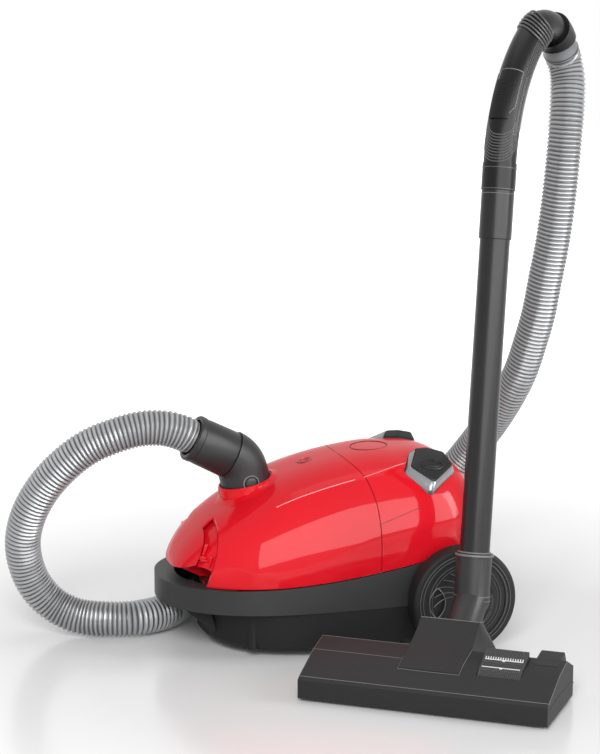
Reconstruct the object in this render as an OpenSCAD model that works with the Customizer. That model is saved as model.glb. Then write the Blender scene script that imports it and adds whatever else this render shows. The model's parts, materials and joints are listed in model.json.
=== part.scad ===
// Canister vacuum cleaner: a two-shell canister on three wheels, a hose, a wand and a floor head.
// X runs along the canister with its nose at -X, Y runs across it, Z is up.
// Pieces are drawn with the rear axle's middle over X = 0, Y = 0, then moved so that the whole
// machine, without its hose, is centred on the origin and stands on Z = 0.

/* [Canister body] */
// Reach of the red nose in front of the rear axle
nose_reach = 316; // [300:1:326]
// How far the carry handle stands out in front of the nose
handle_out = 12; // [8:1:18]
// Reach of the body behind the rear axle
body_rear = 62; // [58:1:66]
// Half of the bumper band's width
band_half = 118; // [114:1:119]
// Height of the bumper band's lower edge
band_bottom = 55; // [53:1:57]
// Height of the bumper band's upper edge at the nose
band_top = 83; // [80:1:86]
// Height of the red crown above the nose seam
crown_rise = 136; // [130:1:142]
// Wall of the red covers
shell_wall = 2.5; // [2:0.5:3.5]
// Wall of the bumper band
band_wall = 4; // [3:0.5:5]
// Wall of the lower tray
tray_wall = 3; // [2.5:0.5:4]
// Clearance of the lower tray above the floor
tray_floor = 8; // [6:1:10]
// Gap between the covers and the band under them
cover_gap = 0.8; // [0.6:0.1:1.2]
// Thickness of the carry handle, front to back
handle_bar = 23; // [18:1:26]
// Half of the width of the latch recess in the nose
latch_half = 28.5; // [24:0.5:32]

/* [Wheels] */
// Radius of a rear wheel
wheel_r = 62.5; // [58:0.5:66]
// Width of a rear wheel
wheel_w = 25; // [20:1:30]
// Distance from the middle to a rear wheel's inner face
wheel_in = 118.5; // [118.5:0.5:124]
// Depth of the soft tyre
tyre_depth = 9; // [6:0.5:12]
// Radius of the steel wheel axles
axle_r = 5; // [4:0.5:6]
// Radial running clearance on axles and pins
run_gap = 0.05; // [0.02:0.01:0.1]
// Radius of the caster wheel
caster_r = 18; // [15:0.5:20]
// Trail of the caster wheel behind its stem
caster_trail = 10; // [6:1:12]

/* [Suction path] */
// Outer radius of the hose
hose_r = 21; // [19:0.5:22]
// Outer radius of the red inlet collar
collar_r = 32; // [30:0.5:33]
// Outer radius of the elbow
elbow_r = 29; // [27:0.5:29.5]
// Bore radius of the elbow
elbow_bore = 22; // [20:0.5:23]
// Length of the front hose cuff
cuff_len = 52; // [46:1:56]
// Turn of the elbow
elbow_turn = 49.8; // [45:0.1:55]

/* [Wand and handle] */
// Lean of the wand from upright
wand_lean = 10.76; // [8:0.01:14]
// Outer radius of the wand tube
wand_r = 17; // [15.5:0.5:17.5]
// Wall of the wand tube
wand_wall = 1.5; // [1.2:0.1:2]
// Length of the wand from its sleeve to its socket
wand_len = 409; // [380:1:430]
// Outer radius of the curved handle
grip_r = 18.5; // [17.5:0.5:19]
// Radius of the long bend of the handle
long_bend = 209.5; // [190:0.5:230]
// Radius of the tight bend of the handle
tight_bend = 51.7; // [48:0.1:60]
// Length of the suction slider in degrees of the long bend
slider_span = 12; // [8:1:16]

/* [Floor head] */
// Width of the floor head
head_w = 278; // [260:1:290]
// Depth of the floor head
head_d = 126; // [118:1:130]
// Turn of the floor head against the canister
head_turn = -37; // [-40:1:-34]
// Height of the neck's upper edge
neck_top = 72; // [68:1:76]
// Width of the neck block
neck_w = 68; // [60:1:74]
// Radius of the knuckle in the neck
knuckle_r = 20; // [18:0.5:21]

/* [Hidden] */
$fn = 64;

// Middle of the machine, without its hose, over the rear axle's middle
part_middle = [-73.95, -134.65];
// Clearance between pieces that are only set together
fit_gap = 0.3;
// Clearance that lets a hole take its own fastener or pin
seat_gap = 0.02;
// A little extra length that carries a cut right through
cut = 1;

// Canister shape
handle_reach = nose_reach + handle_out;
widest_x = -110;
crown_x = -60;
seam_rise = 0.00038;
seam_start = -280;
cover_half = band_half - 3;
tray_half = band_half - 1;
tray_top_reach = nose_reach - 35;
parting_x = -92;
parting_bow = 20;
parting_gap = 1;
arch_steps = 20;
run_steps = 15;
tip_cut = 1.5;
rear_cut = 4.5;
plan_steps = 72;

// Front bar between the finger hole and the dust chamber
bar_front = 39 - nose_reach;
bar_back = bar_front + 19;
// Front face of the wall behind the latch
latch_wall = bar_front + 1;
// Lean of the two edges of the side grooves that set off the nose, and half of their bridge
cheek_lean = 17;
lobe_lean = 25;
bridge_half = 22;
rib_inset = 8;
latch_foot = band_top - 13;
lid_foot = band_top + 1.5;

// Wheels and caster
wheel_out = wheel_in + wheel_w;
hub_r = wheel_r - tyre_depth;
caster_x = 94 - nose_reach;
caster_track = 10.5;
caster_axle_r = 2.5;
stem_r = 4;
caster_well_r = 33;
caster_well_top = 44;

// Inlet
inlet_x = 96 - nose_reach;
inlet_at = [inlet_x, 0, crown_z(inlet_x, 0) + 0.77];
inlet_tilt = -12.7;
elbow_rise = 18;
elbow_bend = 30;
indicator_x = -149;
lens_r = 9;
hinge_x = -112;
hinge_drop = 0.8;
hinge_r = 1.6;
hinge_pin_r = 0.8;
latch_pin = [latch_wall + 3.5, band_top + 41];
latch_pin_r = 1.5;
tongue_half = 12;
lip_half = 44;
partition_x = latch_wall + 14;
axle_boss_r = 7.4;
outlet_at = [64, 84];
badge_at = [-70, 0];
badge_r = 22;
// Front lower edge and size of the rear grille
grille_at = [51, 62.3];
grille_half = 47.7;
grille_tall = 49.4;

// Dust chamber and motor
bulkhead_x = -118;
bulkhead_t = 3;
// Half of the filled bag's length, which leaves room in front of the bulkhead
bag_half = (bulkhead_x - inlet_x) / 2 + 5;
motor_y = -38;
motor_z = 78;
casing_r = 50;
eye_r = 20;
fan_r = 44;
stator_r = 40;
stator_bore = 24;
commutator_r = 11;
bearing_r = 9;
shaft_r = 4;
reel_x = -30;
reel_z = 82;
reel_y = 52;
reel_r = 54;
reel_pin_r = 5;
brake_roller = 6;
brake_pin_r = 3;
floor_top = tray_floor + tray_wall;
brake_at = [reel_x + 40, reel_z + reel_r + brake_roller + 0.4];

// Pedals
pedal_at = [-19, -72, 205];
pedal_roll = 31;
pedal_pitch = 5;
pedal_travel = 4;

// Floor head and wand, in the floor head's own directions
head_at = [-84.4, -278.8, 0];
wand_foot = [5, 125, 130];
neck_axis = [5, 62, 45];
knuckle_half = 21.7;
knuckle_swing = 20.5;
neck_bore = 11.5;
neck_pin_r = 4;
sleeve_len = 51;
grip_straight = 30;
grip_twist = 10;
long_turn = 47.8;
tight_turn = 82.3;
cuff_out = 16;
slider_from = 12.5;
slider_wide = 35;

// Route of the hose: up over the nose, round to the floor, behind the body, up to the handle
hose_route = concat([front_socket(fit_gap), front_socket(14)], [
    [-318, 1, 256], [-345, 4, 256.5], [-375, 9, 249],
    [-405, 18, 235], [-431, 28, 213], [-452, 40, 186], [-467, 52, 154], [-473, 63, 120],
    [-468, 71, 86], [-455, 73, 57], [-434, 69, 35], [-407, 57, 23], [-373, 42, 21.5],
    [-340, 38, 21.5], [-308, 51, 21.5], [-282, 77, 21.5], [-255, 110, 21.5],
    [-222, 140, 21.5], [-184, 162, 21.5], [-146, 174, 21.5], [-108, 181, 21.5],
    [-66, 188, 23], [-27, 192, 32], [10, 193, 51], [43, 188, 77], [70, 178, 104],
    [92, 164, 132], [107, 148, 158], [119, 129, 185], [128, 107, 212], [134, 85, 238],
    [139, 66, 263], [144, 50, 290], [149, 36, 325], [154, 24, 362], [158, 15, 405],
    [163, 7, 450], [167, 1, 500], [170, -3, 550], [173, -3, 592], [176, 1, 622],
    [178, 7, 646]], [rear_socket(14), rear_socket(fit_gap)]);
hose_split = 22;

// Half of the body's width at a station, for an outline of the given reaches and half width
function plan_w(x, front, rear, half) = x < widest_x
    ? half * pow(max(0, 1 - pow((widest_x - x) / (widest_x + front), 2.8)), 1 / 2.2)
    : half * pow(max(0, 1 - pow((x - widest_x) / (rear - widest_x), 4)), 1 / 2.2);

// The same outline as a ring of points
function plan_ring(front, rear, half) = [for (k = [0 : plan_steps - 1])
    let (c = cos(360 * k / plan_steps), s = sin(360 * k / plan_steps))
    [c < 0 ? widest_x - (widest_x + front) * pow(-c, 2 / 2.8)
        : widest_x + (rear - widest_x) * pow(c, 0.5), half * sign(s) * pow(abs(s), 2 / 2.2)]];

// Height of the seam between the covers and the band
function seam_z(x) = band_top + seam_rise * pow(max(0, x - seam_start), 2);

// Height of the covers on the middle line, inset by a wall
function crown_z(x, inset) = band_top + 1 + (crown_rise - inset) * (x < crown_x
    ? pow(max(0, 1 - pow((crown_x - x) / (crown_x + nose_reach - inset), 1.75)), 0.58)
    : pow(max(0, 1 - pow((x - crown_x) / (body_rear - crown_x - inset), 3.6)), 0.5));

// A point of the covers at a station and an angle over the arch
function cover_point(x, v, inset) =
    let (w = plan_w(x, nose_reach - inset, body_rear - inset, cover_half - inset),
        low = seam_z(x) + cover_gap, high = crown_z(x, inset))
    [x, -w * sign(cos(v)) * pow(abs(cos(v)), 2 / 2.7),
        low + (high - low) * pow(abs(sin(v)), 2 / 2.7)];

// Station of the line where the front lid meets the rear cover
function parting_at(v) = parting_x - parting_bow * pow(sin(v), 4);

function unit(a) = a / norm(a);

// A point turned about one axis
function about_x(a, p) = [p[0], p[1] * cos(a) - p[2] * sin(a), p[1] * sin(a) + p[2] * cos(a)];
function about_y(a, p) = [p[0] * cos(a) + p[2] * sin(a), p[1], p[2] * cos(a) - p[0] * sin(a)];
function about_z(a, p) = [p[0] * cos(a) - p[1] * sin(a), p[0] * sin(a) + p[1] * cos(a), p[2]];

// A point given from the far end of a pipe bend
function beyond(radius, turn, p) =
    [0, radius * (1 - cos(turn)), radius * sin(turn)] + about_x(-turn, p);

// Points on the axes of the two hose cuffs, at a distance past their faces
function front_socket(d) = inlet_at + about_y(inlet_tilt, [0, 0, elbow_rise]
    + about_z(90, beyond(elbow_bend, elbow_turn, [0, 0, cuff_len + d])));
function rear_socket(d) = head_at + about_z(head_turn, wand_foot + about_x(-wand_lean,
    [0, 0, wand_len] + about_z(-grip_twist, [0, 0, grip_straight] + beyond(long_bend, long_turn,
        beyond(tight_bend, tight_turn, [0, 0, cuff_out + d])))));

// Directions square to a route, carried along it without twist
function carried(dirs, i, side) = i == len(dirs) ? [] :
    let (s = unit(side - (side * dirs[i]) * dirs[i])) concat([s], carried(dirs, i + 1, s));

// Closed skin over rings of points, from the first cap to the last
module skin(rings) {
    n = len(rings[0]);
    last = len(rings) - 1;
    polyhedron(
        points = [for (ring = rings) each ring],
        faces = concat(
            [[for (k = [0 : n - 1]) k]],
            [for (i = [0 : last - 1], k = [0 : n - 1])
                let (a = i * n + k, b = i * n + (k + 1) % n) each [[a, a + n, b + n], [a, b + n, b]]],
            [[for (k = [n - 1 : -1 : 0]) last * n + k]]));
}

// Tube without a bore swept along a stretch of a route, its first ring moved on by a gap
module swept(route, from, to, r, sides, gap) {
    dirs = [for (i = [from : to])
        unit(route[min(i + 1, len(route) - 1)] - route[max(i - 1, 0)])];
    across = carried(dirs, 0, [0, 1, 0.2]);
    skin([for (i = [from : to])
        let (s = across[i - from], t = cross(dirs[i - from], s))
        [for (k = [0 : sides - 1])
            route[i] + (i == from ? gap : 0) * dirs[0]
                + r * (cos(360 * k / sides) * s + sin(360 * k / sides) * t)]]);
}

module tube(outer, inner, length) {
    difference() {
        cylinder(r = outer, h = length);
        translate([0, 0, -cut]) cylinder(r = inner, h = length + 2 * cut);
    }
}

// Pipe bend that starts upwards at the origin and turns towards +Y
module bend(radius, turn, r) {
    translate([0, radius, 0]) rotate([90, 0, -90])
        rotate_extrude(angle = turn) translate([radius, 0]) circle(r = r);
}

// Moves its children to the far end of such a bend
module past_bend(radius, turn) {
    translate([0, radius * (1 - cos(turn)), radius * sin(turn)]) rotate([-turn, 0, 0])
        children();
}

module placed() {
    translate([-part_middle[0], -part_middle[1], 0]) children();
}

module at_inlet() {
    translate(inlet_at) rotate([0, inlet_tilt, 0]) children();
}

module at_front_cuff() {
    at_inlet() translate([0, 0, elbow_rise]) rotate([0, 0, 90])
        past_bend(elbow_bend, elbow_turn) children();
}

module at_head() {
    translate(head_at) rotate([0, 0, head_turn]) children();
}

module at_wand() {
    at_head() translate(wand_foot) rotate([-wand_lean, 0, 0]) children();
}

module at_grip() {
    at_wand() translate([0, 0, wand_len]) rotate([0, 0, -grip_twist]) children();
}

module at_grip_end() {
    at_grip() translate([0, 0, grip_straight]) past_bend(long_bend, long_turn)
        past_bend(tight_bend, tight_turn) children();
}

// Moves its children to the pedal nearer the wand, or to its mirror image on the other side
module at_pedal(far) {
    mirror([0, far ? 1 : 0, 0]) translate(pedal_at) rotate([pedal_roll, pedal_pitch, 0])
        children();
}

// Lays a profile drawn in X and Z across the body
module across(width) {
    rotate([90, 0, 0]) translate([0, 0, -width / 2]) linear_extrude(height = width) children();
}

// Rod along Y through a point of the X, Z plane
module rod_y(at, r, from, to) {
    translate([at[0], from, at[1]]) rotate([-90, 0, 0]) cylinder(r = r, h = to - from);
}

// Ring along Y through a point of the X, Z plane
module ring_y(at, outer, inner, from, to) {
    translate([at[0], from, at[1]]) rotate([-90, 0, 0]) tube(outer, inner, to - from);
}

// Rod and ring along X through a point of the Y, Z plane
module rod_x(at, r, from, to) {
    translate([from, at[0], at[1]]) rotate([0, 90, 0]) cylinder(r = r, h = to - from);
}

module ring_x(at, outer, inner, from, to) {
    translate([from, at[0], at[1]]) rotate([0, 90, 0]) tube(outer, inner, to - from);
}

// Height of a cover above a point of the plan, inset by a wall
function cover_height(x, y, inset) =
    let (w = plan_w(x, nose_reach - inset, body_rear - inset, cover_half - inset),
        low = seam_z(x) + cover_gap)
    low + (crown_z(x, inset) - low) * pow(max(0, 1 - pow(abs(y) / w, 2.7)), 1 / 2.7);

// Points of one skin of a cover, from its closed end to the parting line
function cover_grid(start, side, inset) = [for (i = [0 : run_steps], j = [0 : arch_steps])
    let (v = 180 * j / arch_steps, end = parting_at(v) + side * parting_gap / 2)
    cover_point(start + (end - start) * pow(i / run_steps, 1.5), v, inset)];

// One red cover: side is -1 for the front lid and +1 for the rear cover
module cover(side) {
    start = side < 0 ? tip_cut - nose_reach : body_rear - rear_cut;
    row = arch_steps + 1;
    base = (run_steps + 1) * row;
    last = run_steps * row;
    end = arch_steps;
    faces = concat(
        [for (i = [0 : run_steps - 1], j = [0 : end - 1])
            let (a = i * row + j, b = a + row)
            each [[a, a + 1, b + 1], [a, b + 1, b],
                [base + a, base + b, base + b + 1], [base + a, base + b + 1, base + a + 1]]],
        [for (i = [0 : run_steps - 1])
            let (a = i * row, b = a + row)
            each [[a, b, base + b], [a, base + b, base + a],
                [a + end, base + a + end, base + b + end], [a + end, base + b + end, b + end]]],
        [for (j = [0 : end - 1])
            let (a = last + j)
            each [[a, a + 1, base + a + 1], [a, base + a + 1, base + a]]],
        [[for (j = [end : -1 : 0]) j], [for (j = [0 : end]) base + j],
            [0, base, base + end, end]]);
    polyhedron(
        points = concat(cover_grid(start, side, 0),
            cover_grid(start - side * shell_wall, side, shell_wall)),
        faces = side < 0 ? faces : [for (f = faces) [for (k = [len(f) - 1 : -1 : 0]) f[k]]]);
}

hinge_at = [hinge_x, crown_z(hinge_x, 0) - hinge_drop];
// Where the body screws stand
screw_r = 2;
screw_x = [-236, -70, 26];
function screw_y(x) = plan_w(x, tray_top_reach, body_rear - 5, tray_half) - tray_wall - 6;

// Bumper band round the body, with the carry handle, the axle bosses and the rear grille's frame
module bumper_band() {
    stations = [for (x = [-handle_reach - 2 : 10 : body_rear + 12]) x];
    side_profile = concat([for (x = stations) [x, seam_z(x)]],
        [[body_rear + 12, band_bottom], [-handle_reach - 2, band_bottom]]);
    color([0.16, 0.16, 0.17]) placed() difference() {
        union() {
            intersection() {
                linear_extrude(height = 200) difference() {
                    polygon(plan_ring(handle_reach, body_rear, band_half));
                    intersection() {
                        polygon(plan_ring(handle_reach - handle_bar, body_rear, band_half - 20));
                        translate([-handle_reach, -band_half])
                            square([handle_reach + bar_front, 2 * band_half]);
                    }
                    intersection() {
                        polygon(plan_ring(handle_reach, body_rear - band_wall,
                            band_half - band_wall));
                        translate([bar_back, -band_half])
                            square([body_rear - bar_back, 2 * band_half]);
                    }
                }
                across(3 * band_half) polygon(side_profile);
            }
            for (far = [0, 1]) mirror([0, far, 0]) {
                rod_y([0, wheel_r], axle_boss_r, -wheel_in + 0.5, -88);
                for (x = screw_x) translate([x, -screw_y(x), band_bottom]) {
                    cylinder(r = 6, h = 14);
                    translate([-2, screw_y(x) - plan_w(x, handle_reach, body_rear, band_half) + 2, 0])
                        cube([4, plan_w(x, handle_reach, body_rear, band_half) - screw_y(x), 14]);
                }
            }
            intersection() {
                translate([40, -50, 60]) cube([22, 100, 54]);
                linear_extrude(height = 120)
                    polygon(plan_ring(handle_reach, body_rear - 1, band_half - 1));
            }
        }
        for (far = [0, 1]) mirror([0, far, 0])
            rod_y([0, wheel_r], axle_r + seat_gap, -wheel_in, -80);
        for (x = screw_x, s = [-1, 1]) translate([x, s * screw_y(x), band_bottom - cut])
            cylinder(r = screw_r + seat_gap, h = 13);
        translate([bar_front - cut, -latch_half + 1, band_bottom - cut])
            cube([5.4 + cut, 2 * latch_half - 2, 60]);
        translate([latch_wall + 4, -tongue_half - 3, latch_foot - 6])
            cube([3.5, 2 * tongue_half + 6, 9.3]);
        translate([grille_at[0] - 12, -grille_half - fit_gap, grille_at[1] - fit_gap])
            cube([30, 2 * (grille_half + fit_gap), grille_tall + 2 * fit_gap]);
        rod_x(outlet_at, 8 + seat_gap, 30, 70);
    }
}

// Lower tray: the belly of the canister, with the caster well and the inner posts
module lower_tray() {
    front = tray_top_reach;
    rings = [[front - 10, body_rear - 12, tray_half - 9, tray_floor],
        [front - 5, body_rear - 8, tray_half - 3, tray_floor + 6],
        [front, body_rear - 5, tray_half, band_bottom],
        [front - tray_wall, body_rear - 5 - tray_wall, tray_half - tray_wall, band_bottom],
        [front - 5 - tray_wall, body_rear - 8 - tray_wall, tray_half - 3 - tray_wall,
            tray_floor + 9],
        [front - 10 - tray_wall, body_rear - 12 - tray_wall, tray_half - 9 - tray_wall,
            floor_top]];
    color([0.13, 0.13, 0.14]) placed() difference() {
        union() {
            skin([for (r = rings) [for (p = plan_ring(r[0], r[1], r[2])) [p[0], p[1], r[3]]]]);
            translate([caster_x, 0, tray_floor])
                cylinder(r = caster_well_r + 2.5, h = caster_well_top + 2.5 - tray_floor);
            translate([caster_x, 0, caster_well_top]) cylinder(r = stem_r + 5, h = 15.5);
            hull() {
                translate([latch_wall - 32, -lip_half, band_bottom - 1.5])
                    cube([30, 2 * lip_half, 1.5]);
                translate([latch_wall + 2, -lip_half, floor_top + 11]) cube([4, 2 * lip_half, 4]);
            }
            for (x = screw_x, s = [-1, 1]) translate([x, s * screw_y(x), floor_top - cut])
                cylinder(r = 6.5, h = band_bottom - floor_top + cut);
        }
        translate([caster_x, 0, -cut]) cylinder(r = caster_well_r, h = caster_well_top + cut);
        translate([caster_x, 0, 0]) cylinder(r = stem_r + run_gap, h = caster_well_top + 13);
        for (x = screw_x, s = [-1, 1]) translate([x, s * screw_y(x), 0]) {
            cylinder(r = screw_r + seat_gap, h = 80);
            cylinder(r = 2 * screw_r + 0.5, h = tray_floor + 5);
        }
    }
}

module rear_cover() {
    color([0.86, 0.07, 0.08]) placed() difference() {
        union() {
            cover(1);
            translate([badge_at[0], badge_at[1], crown_z(badge_at[0], shell_wall) - 2.2])
                tube(badge_r + 3, badge_r - 4, 2.4);
            for (far = [0, 1]) mirror([0, far, 0]) rod_y(hinge_at, hinge_r, -18, -10);
        }
        translate([badge_at[0], badge_at[1], crown_z(badge_at[0], shell_wall)])
            cylinder(r = badge_r, h = 10);
        rod_y(hinge_at, hinge_r + fit_gap, -9.7, 9.7);
        rod_y(hinge_at, hinge_pin_r + seat_gap, -20, 20);
        for (far = [false, true]) at_pedal(far) translate([0, 0, -30])
            linear_extrude(height = 60) pedal_outline(1, fit_gap);
    }
}

// Round blank cap let into the top of the rear cover
module badge_disc() {
    color([0.86, 0.07, 0.08]) placed()
        translate([badge_at[0], badge_at[1], crown_z(badge_at[0], shell_wall) + 0.2])
            cylinder(r = badge_r - fit_gap, h = shell_wall - 0.2);
}

// Wall between the dust chamber and the motor
module bulkhead() {
    color([0.2, 0.2, 0.21]) placed() difference() {
        union() {
            translate([bulkhead_x, 0, 0]) rotate([90, 0, 90]) linear_extrude(height = bulkhead_t)
                polygon(concat([[-96, floor_top], [-106, floor_top + 8], [-106, band_bottom + 30]],
                    [for (v = [12 : 6 : 168]) let (c = cover_point(bulkhead_x, v, 11)) [c[1], c[2]]],
                    [[106, band_bottom + 30], [106, floor_top + 8], [96, floor_top]]));
            translate([bulkhead_x + cut, -70, 158]) cube([114, 20, 3]);
        }
        rod_x([motor_y, motor_z], casing_r - 16, bulkhead_x - cut, bulkhead_x + bulkhead_t + cut);
    }
}

// Foam filter in its frame in front of the motor's intake
module motor_filter() {
    color([0.9, 0.9, 0.86]) placed()
        rod_x([motor_y, motor_z], casing_r - 6, bulkhead_x - 9, bulkhead_x);
}

module front_motor_mount() {
    color([0.1, 0.1, 0.1]) placed() ring_x([motor_y, motor_z], casing_r, casing_r - 12,
        bulkhead_x + bulkhead_t, bulkhead_x + bulkhead_t + 8);
}

fan_from = bulkhead_x + bulkhead_t + 8;
fan_to = fan_from + 38;
stator_to = fan_to + 56;

module fan_casing() {
    color([0.75, 0.76, 0.78]) placed() difference() {
        rod_x([motor_y, motor_z], casing_r, fan_from, fan_to);
        rod_x([motor_y, motor_z], casing_r - 2, fan_from + 1.5, fan_to - 4);
        rod_x([motor_y, motor_z], eye_r, fan_from - cut, fan_from + 2);
        rod_x([motor_y, motor_z], bearing_r + seat_gap, fan_to - 5, fan_to + cut);
    }
}

module fan_impeller() {
    color([0.8, 0.8, 0.82]) placed() {
        ring_x([motor_y, motor_z], fan_r, shaft_r + seat_gap, fan_from + 22, fan_from + 24);
        ring_x([motor_y, motor_z], bearing_r, shaft_r + seat_gap, fan_from + 6, fan_from + 22);
        difference() {
            rod_x([motor_y, motor_z], fan_r, fan_from + 4, fan_from + 6);
            rod_x([motor_y, motor_z], eye_r - 2, fan_from, fan_from + 8);
        }
        for (k = [0 : 7]) translate([fan_from + 6, motor_y, motor_z]) rotate([45 * k, 0, 0])
            translate([0, 8, -1]) cube([16, fan_r - 10, 2]);
    }
}

module motor_stator() {
    color([0.55, 0.33, 0.2]) placed() difference() {
        rod_x([motor_y, motor_z], stator_r, fan_to + 6, stator_to - 8);
        rod_x([motor_y, motor_z], stator_bore, fan_to, stator_to);
        for (z = [-stator_r - 20, stator_r - 6])
            translate([fan_to, motor_y - stator_r - 10, motor_z + z])
                cube([stator_to - fan_to, 2 * stator_r + 20, 26]);
    }
}

module motor_armature() {
    color([0.6, 0.6, 0.6]) placed() {
        ring_x([motor_y, motor_z], stator_bore - 0.6, shaft_r + seat_gap, fan_to + 12, stator_to - 20);
        ring_x([motor_y, motor_z], commutator_r, shaft_r + seat_gap, stator_to - 18, stator_to - 8);
    }
}

module motor_shaft() {
    color([0.8, 0.8, 0.8]) placed()
        rod_x([motor_y, motor_z], shaft_r, fan_from + 5, stator_to + 5);
}

// Rear end of the motor, tied to the fan casing by two posts
module end_bracket() {
    color([0.75, 0.76, 0.78]) placed() {
        difference() {
            rod_x([motor_y, motor_z], stator_r, stator_to, stator_to + 6);
            rod_x([motor_y, motor_z], bearing_r + seat_gap, stator_to - cut, stator_to + 6 + cut);
        }
        for (s = [-1, 1]) translate([stator_to - 8, motor_y - 12, motor_z + s * (stator_r - 11) - 2])
            cube([8, 24, 4]);
        for (s = [-1, 1]) translate([fan_to, motor_y + s * (stator_r - 4) - 3, motor_z - 3])
            cube([6, 6, 6]);
    }
}

module motor_bearings() {
    color([0.7, 0.7, 0.72]) placed() {
        ring_x([motor_y, motor_z], bearing_r, shaft_r + run_gap, fan_to - 4, fan_to);
        ring_x([motor_y, motor_z], bearing_r, shaft_r + run_gap, stator_to, stator_to + 6);
    }
}

module carbon_brushes() {
    color([0.15, 0.15, 0.15]) placed() for (s = [-1, 1])
        translate([stator_to - 16, motor_y + s * (commutator_r + 6.3) - 6, motor_z - 3]) cube([6, 12, 6]);
}

module motor_cradle() {
    cradle_x = stator_to + 14;
    color([0.2, 0.2, 0.21]) placed() {
        difference() {
            translate([cradle_x, motor_y - stator_r + 6, floor_top])
                cube([3, 2 * stator_r - 12, motor_z + 20 - floor_top]);
            rod_x([motor_y, motor_z], bearing_r, cradle_x - cut, cradle_x + 4);
        }
        ring_x([motor_y, motor_z], 30, 14, stator_to + 6, cradle_x);
    }
}

module reel_frame() {
    color([0.2, 0.2, 0.21]) placed() {
        translate([reel_x - 16, reel_y - 33, floor_top]) cube([32, 3, reel_z - floor_top]);
        rod_y([reel_x, reel_z], 16, reel_y - 33, reel_y - 30);
        rod_y([reel_x, reel_z], reel_pin_r, reel_y - 30.5, reel_y + 34);
        translate([brake_at[0] - 5, reel_y - 33, floor_top])
            cube([10, 3, brake_at[1] + 5 - floor_top]);
        translate([reel_x, reel_y - 33, floor_top]) cube([brake_at[0] - reel_x, 3, 14]);
        rod_y(brake_at, brake_pin_r, reel_y - 30.5, reel_y - 20);
    }
}

module reel_drum() {
    color([0.85, 0.85, 0.83]) placed() {
        for (y = [reel_y - 28, reel_y + 18]) ring_y([reel_x, reel_z], reel_r,
            reel_pin_r + run_gap, y, y + 2);
        ring_y([reel_x, reel_z], 22, reel_pin_r + run_gap, reel_y - 26, reel_y + 18);
    }
}

module reel_spring_case() {
    color([0.35, 0.35, 0.36]) placed()
        ring_y([reel_x, reel_z], 34, reel_pin_r + seat_gap, reel_y + 20.3, reel_y + 29);
}

module reel_brake() {
    color([0.25, 0.25, 0.26]) placed() difference() {
        union() {
            translate([reel_x, reel_y - 29.7, brake_at[1] - 2.5]) cube([brake_at[0] - reel_x, 7, 5]);
            rod_y(brake_at, 6, reel_y - 29.7, reel_y - 22.7);
            rod_y([reel_x, brake_at[1]], brake_roller, reel_y - 29.7, reel_y - 22.7);
        }
        rod_y(brake_at, brake_pin_r + run_gap, reel_y - 31, reel_y - 21);
    }
}

// Outline of a pedal's bezel, or a share of it for the cap inside
module pedal_outline(share, grow) {
    translate(20 * (1 - share) * [0.5, 0.75]) hull()
        for (p = [[-27, -7], [-12, 25], [0, 27], [19, 20], [24.5, 0], [-6, -30]])
            translate(share * p) circle(r = 6 * share + grow, $fn = 24);
}

module power_switch() {
    color([0.15, 0.15, 0.16]) placed() {
        translate([-28, -68, 161]) cube([24, 16, 14]);
        translate([-19, -63, 174]) cube([6, 6, 6]);
    }
}

// Louvred rear door over the exhaust filter
module exhaust_grille() {
    color([0.2, 0.2, 0.21]) placed() difference() {
        translate([grille_at[0], -grille_half, grille_at[1]])
            cube([4, 2 * grille_half, grille_tall]);
        for (z = [68 : 6 : 104]) translate([grille_at[0] - cut, 6 - grille_half, z])
            cube([6, 2 * grille_half - 12, 3]);
    }
}

module exhaust_filter() {
    color([0.92, 0.92, 0.9]) placed() translate([grille_at[0] - 10, -grille_half, grille_at[1]])
        cube([10, 2 * grille_half, grille_tall]);
}

module cord_outlet() {
    color([0.12, 0.12, 0.12]) placed() ring_x(outlet_at, 8, 5, 41, 54);
}

module wheel_axles() {
    color([0.7, 0.7, 0.72]) placed() for (far = [0, 1]) mirror([0, far, 0])
        rod_y([0, wheel_r], axle_r, -wheel_out + 5, -82);
}

// Rear wheel hub: a dished disc with stepped rings and a pointed oval recess
module wheel_hub(far) {
    color([0.14, 0.14, 0.15]) placed() mirror([0, far, 0])
        translate([0, -wheel_out, wheel_r]) rotate([-90, 0, 0]) difference() {
            rotate_extrude() polygon([[0, 2], [hub_r - 4, 2], [hub_r - 4, 0.5], [hub_r, 0.5],
                [hub_r, wheel_w], [hub_r - 3, wheel_w], [hub_r - 3, 7], [12, 7],
                [12, wheel_w], [0, wheel_w]]);
            translate([0, 0, 4]) cylinder(r = axle_r + run_gap, h = wheel_w);
            for (r = [hub_r - 10, hub_r - 20]) translate([0, 0, cut]) tube(r, r - 1.2, 1.6);
            intersection() {
                translate([-22, 0, cut]) cylinder(r = 22, h = 3);
                translate([-46, 0, cut]) cylinder(r = 22, h = 3);
            }
        }
}

module near_wheel_hub() { wheel_hub(0); }
module far_wheel_hub() { wheel_hub(1); }

module tyre(far) {
    color([0.05, 0.05, 0.05]) placed() mirror([0, far, 0])
        translate([0, -wheel_out, wheel_r]) rotate([-90, 0, 0]) rotate_extrude() {
            translate([hub_r + seat_gap, 0]) square([tyre_depth - 4, wheel_w]);
            translate([hub_r + 2, 4]) square([tyre_depth - 2, wheel_w - 8]);
            for (z = [4, wheel_w - 4]) translate([wheel_r - 4, z]) circle(r = 4);
        }
}

module near_tyre() { tyre(0); }
module far_tyre() { tyre(1); }

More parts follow.
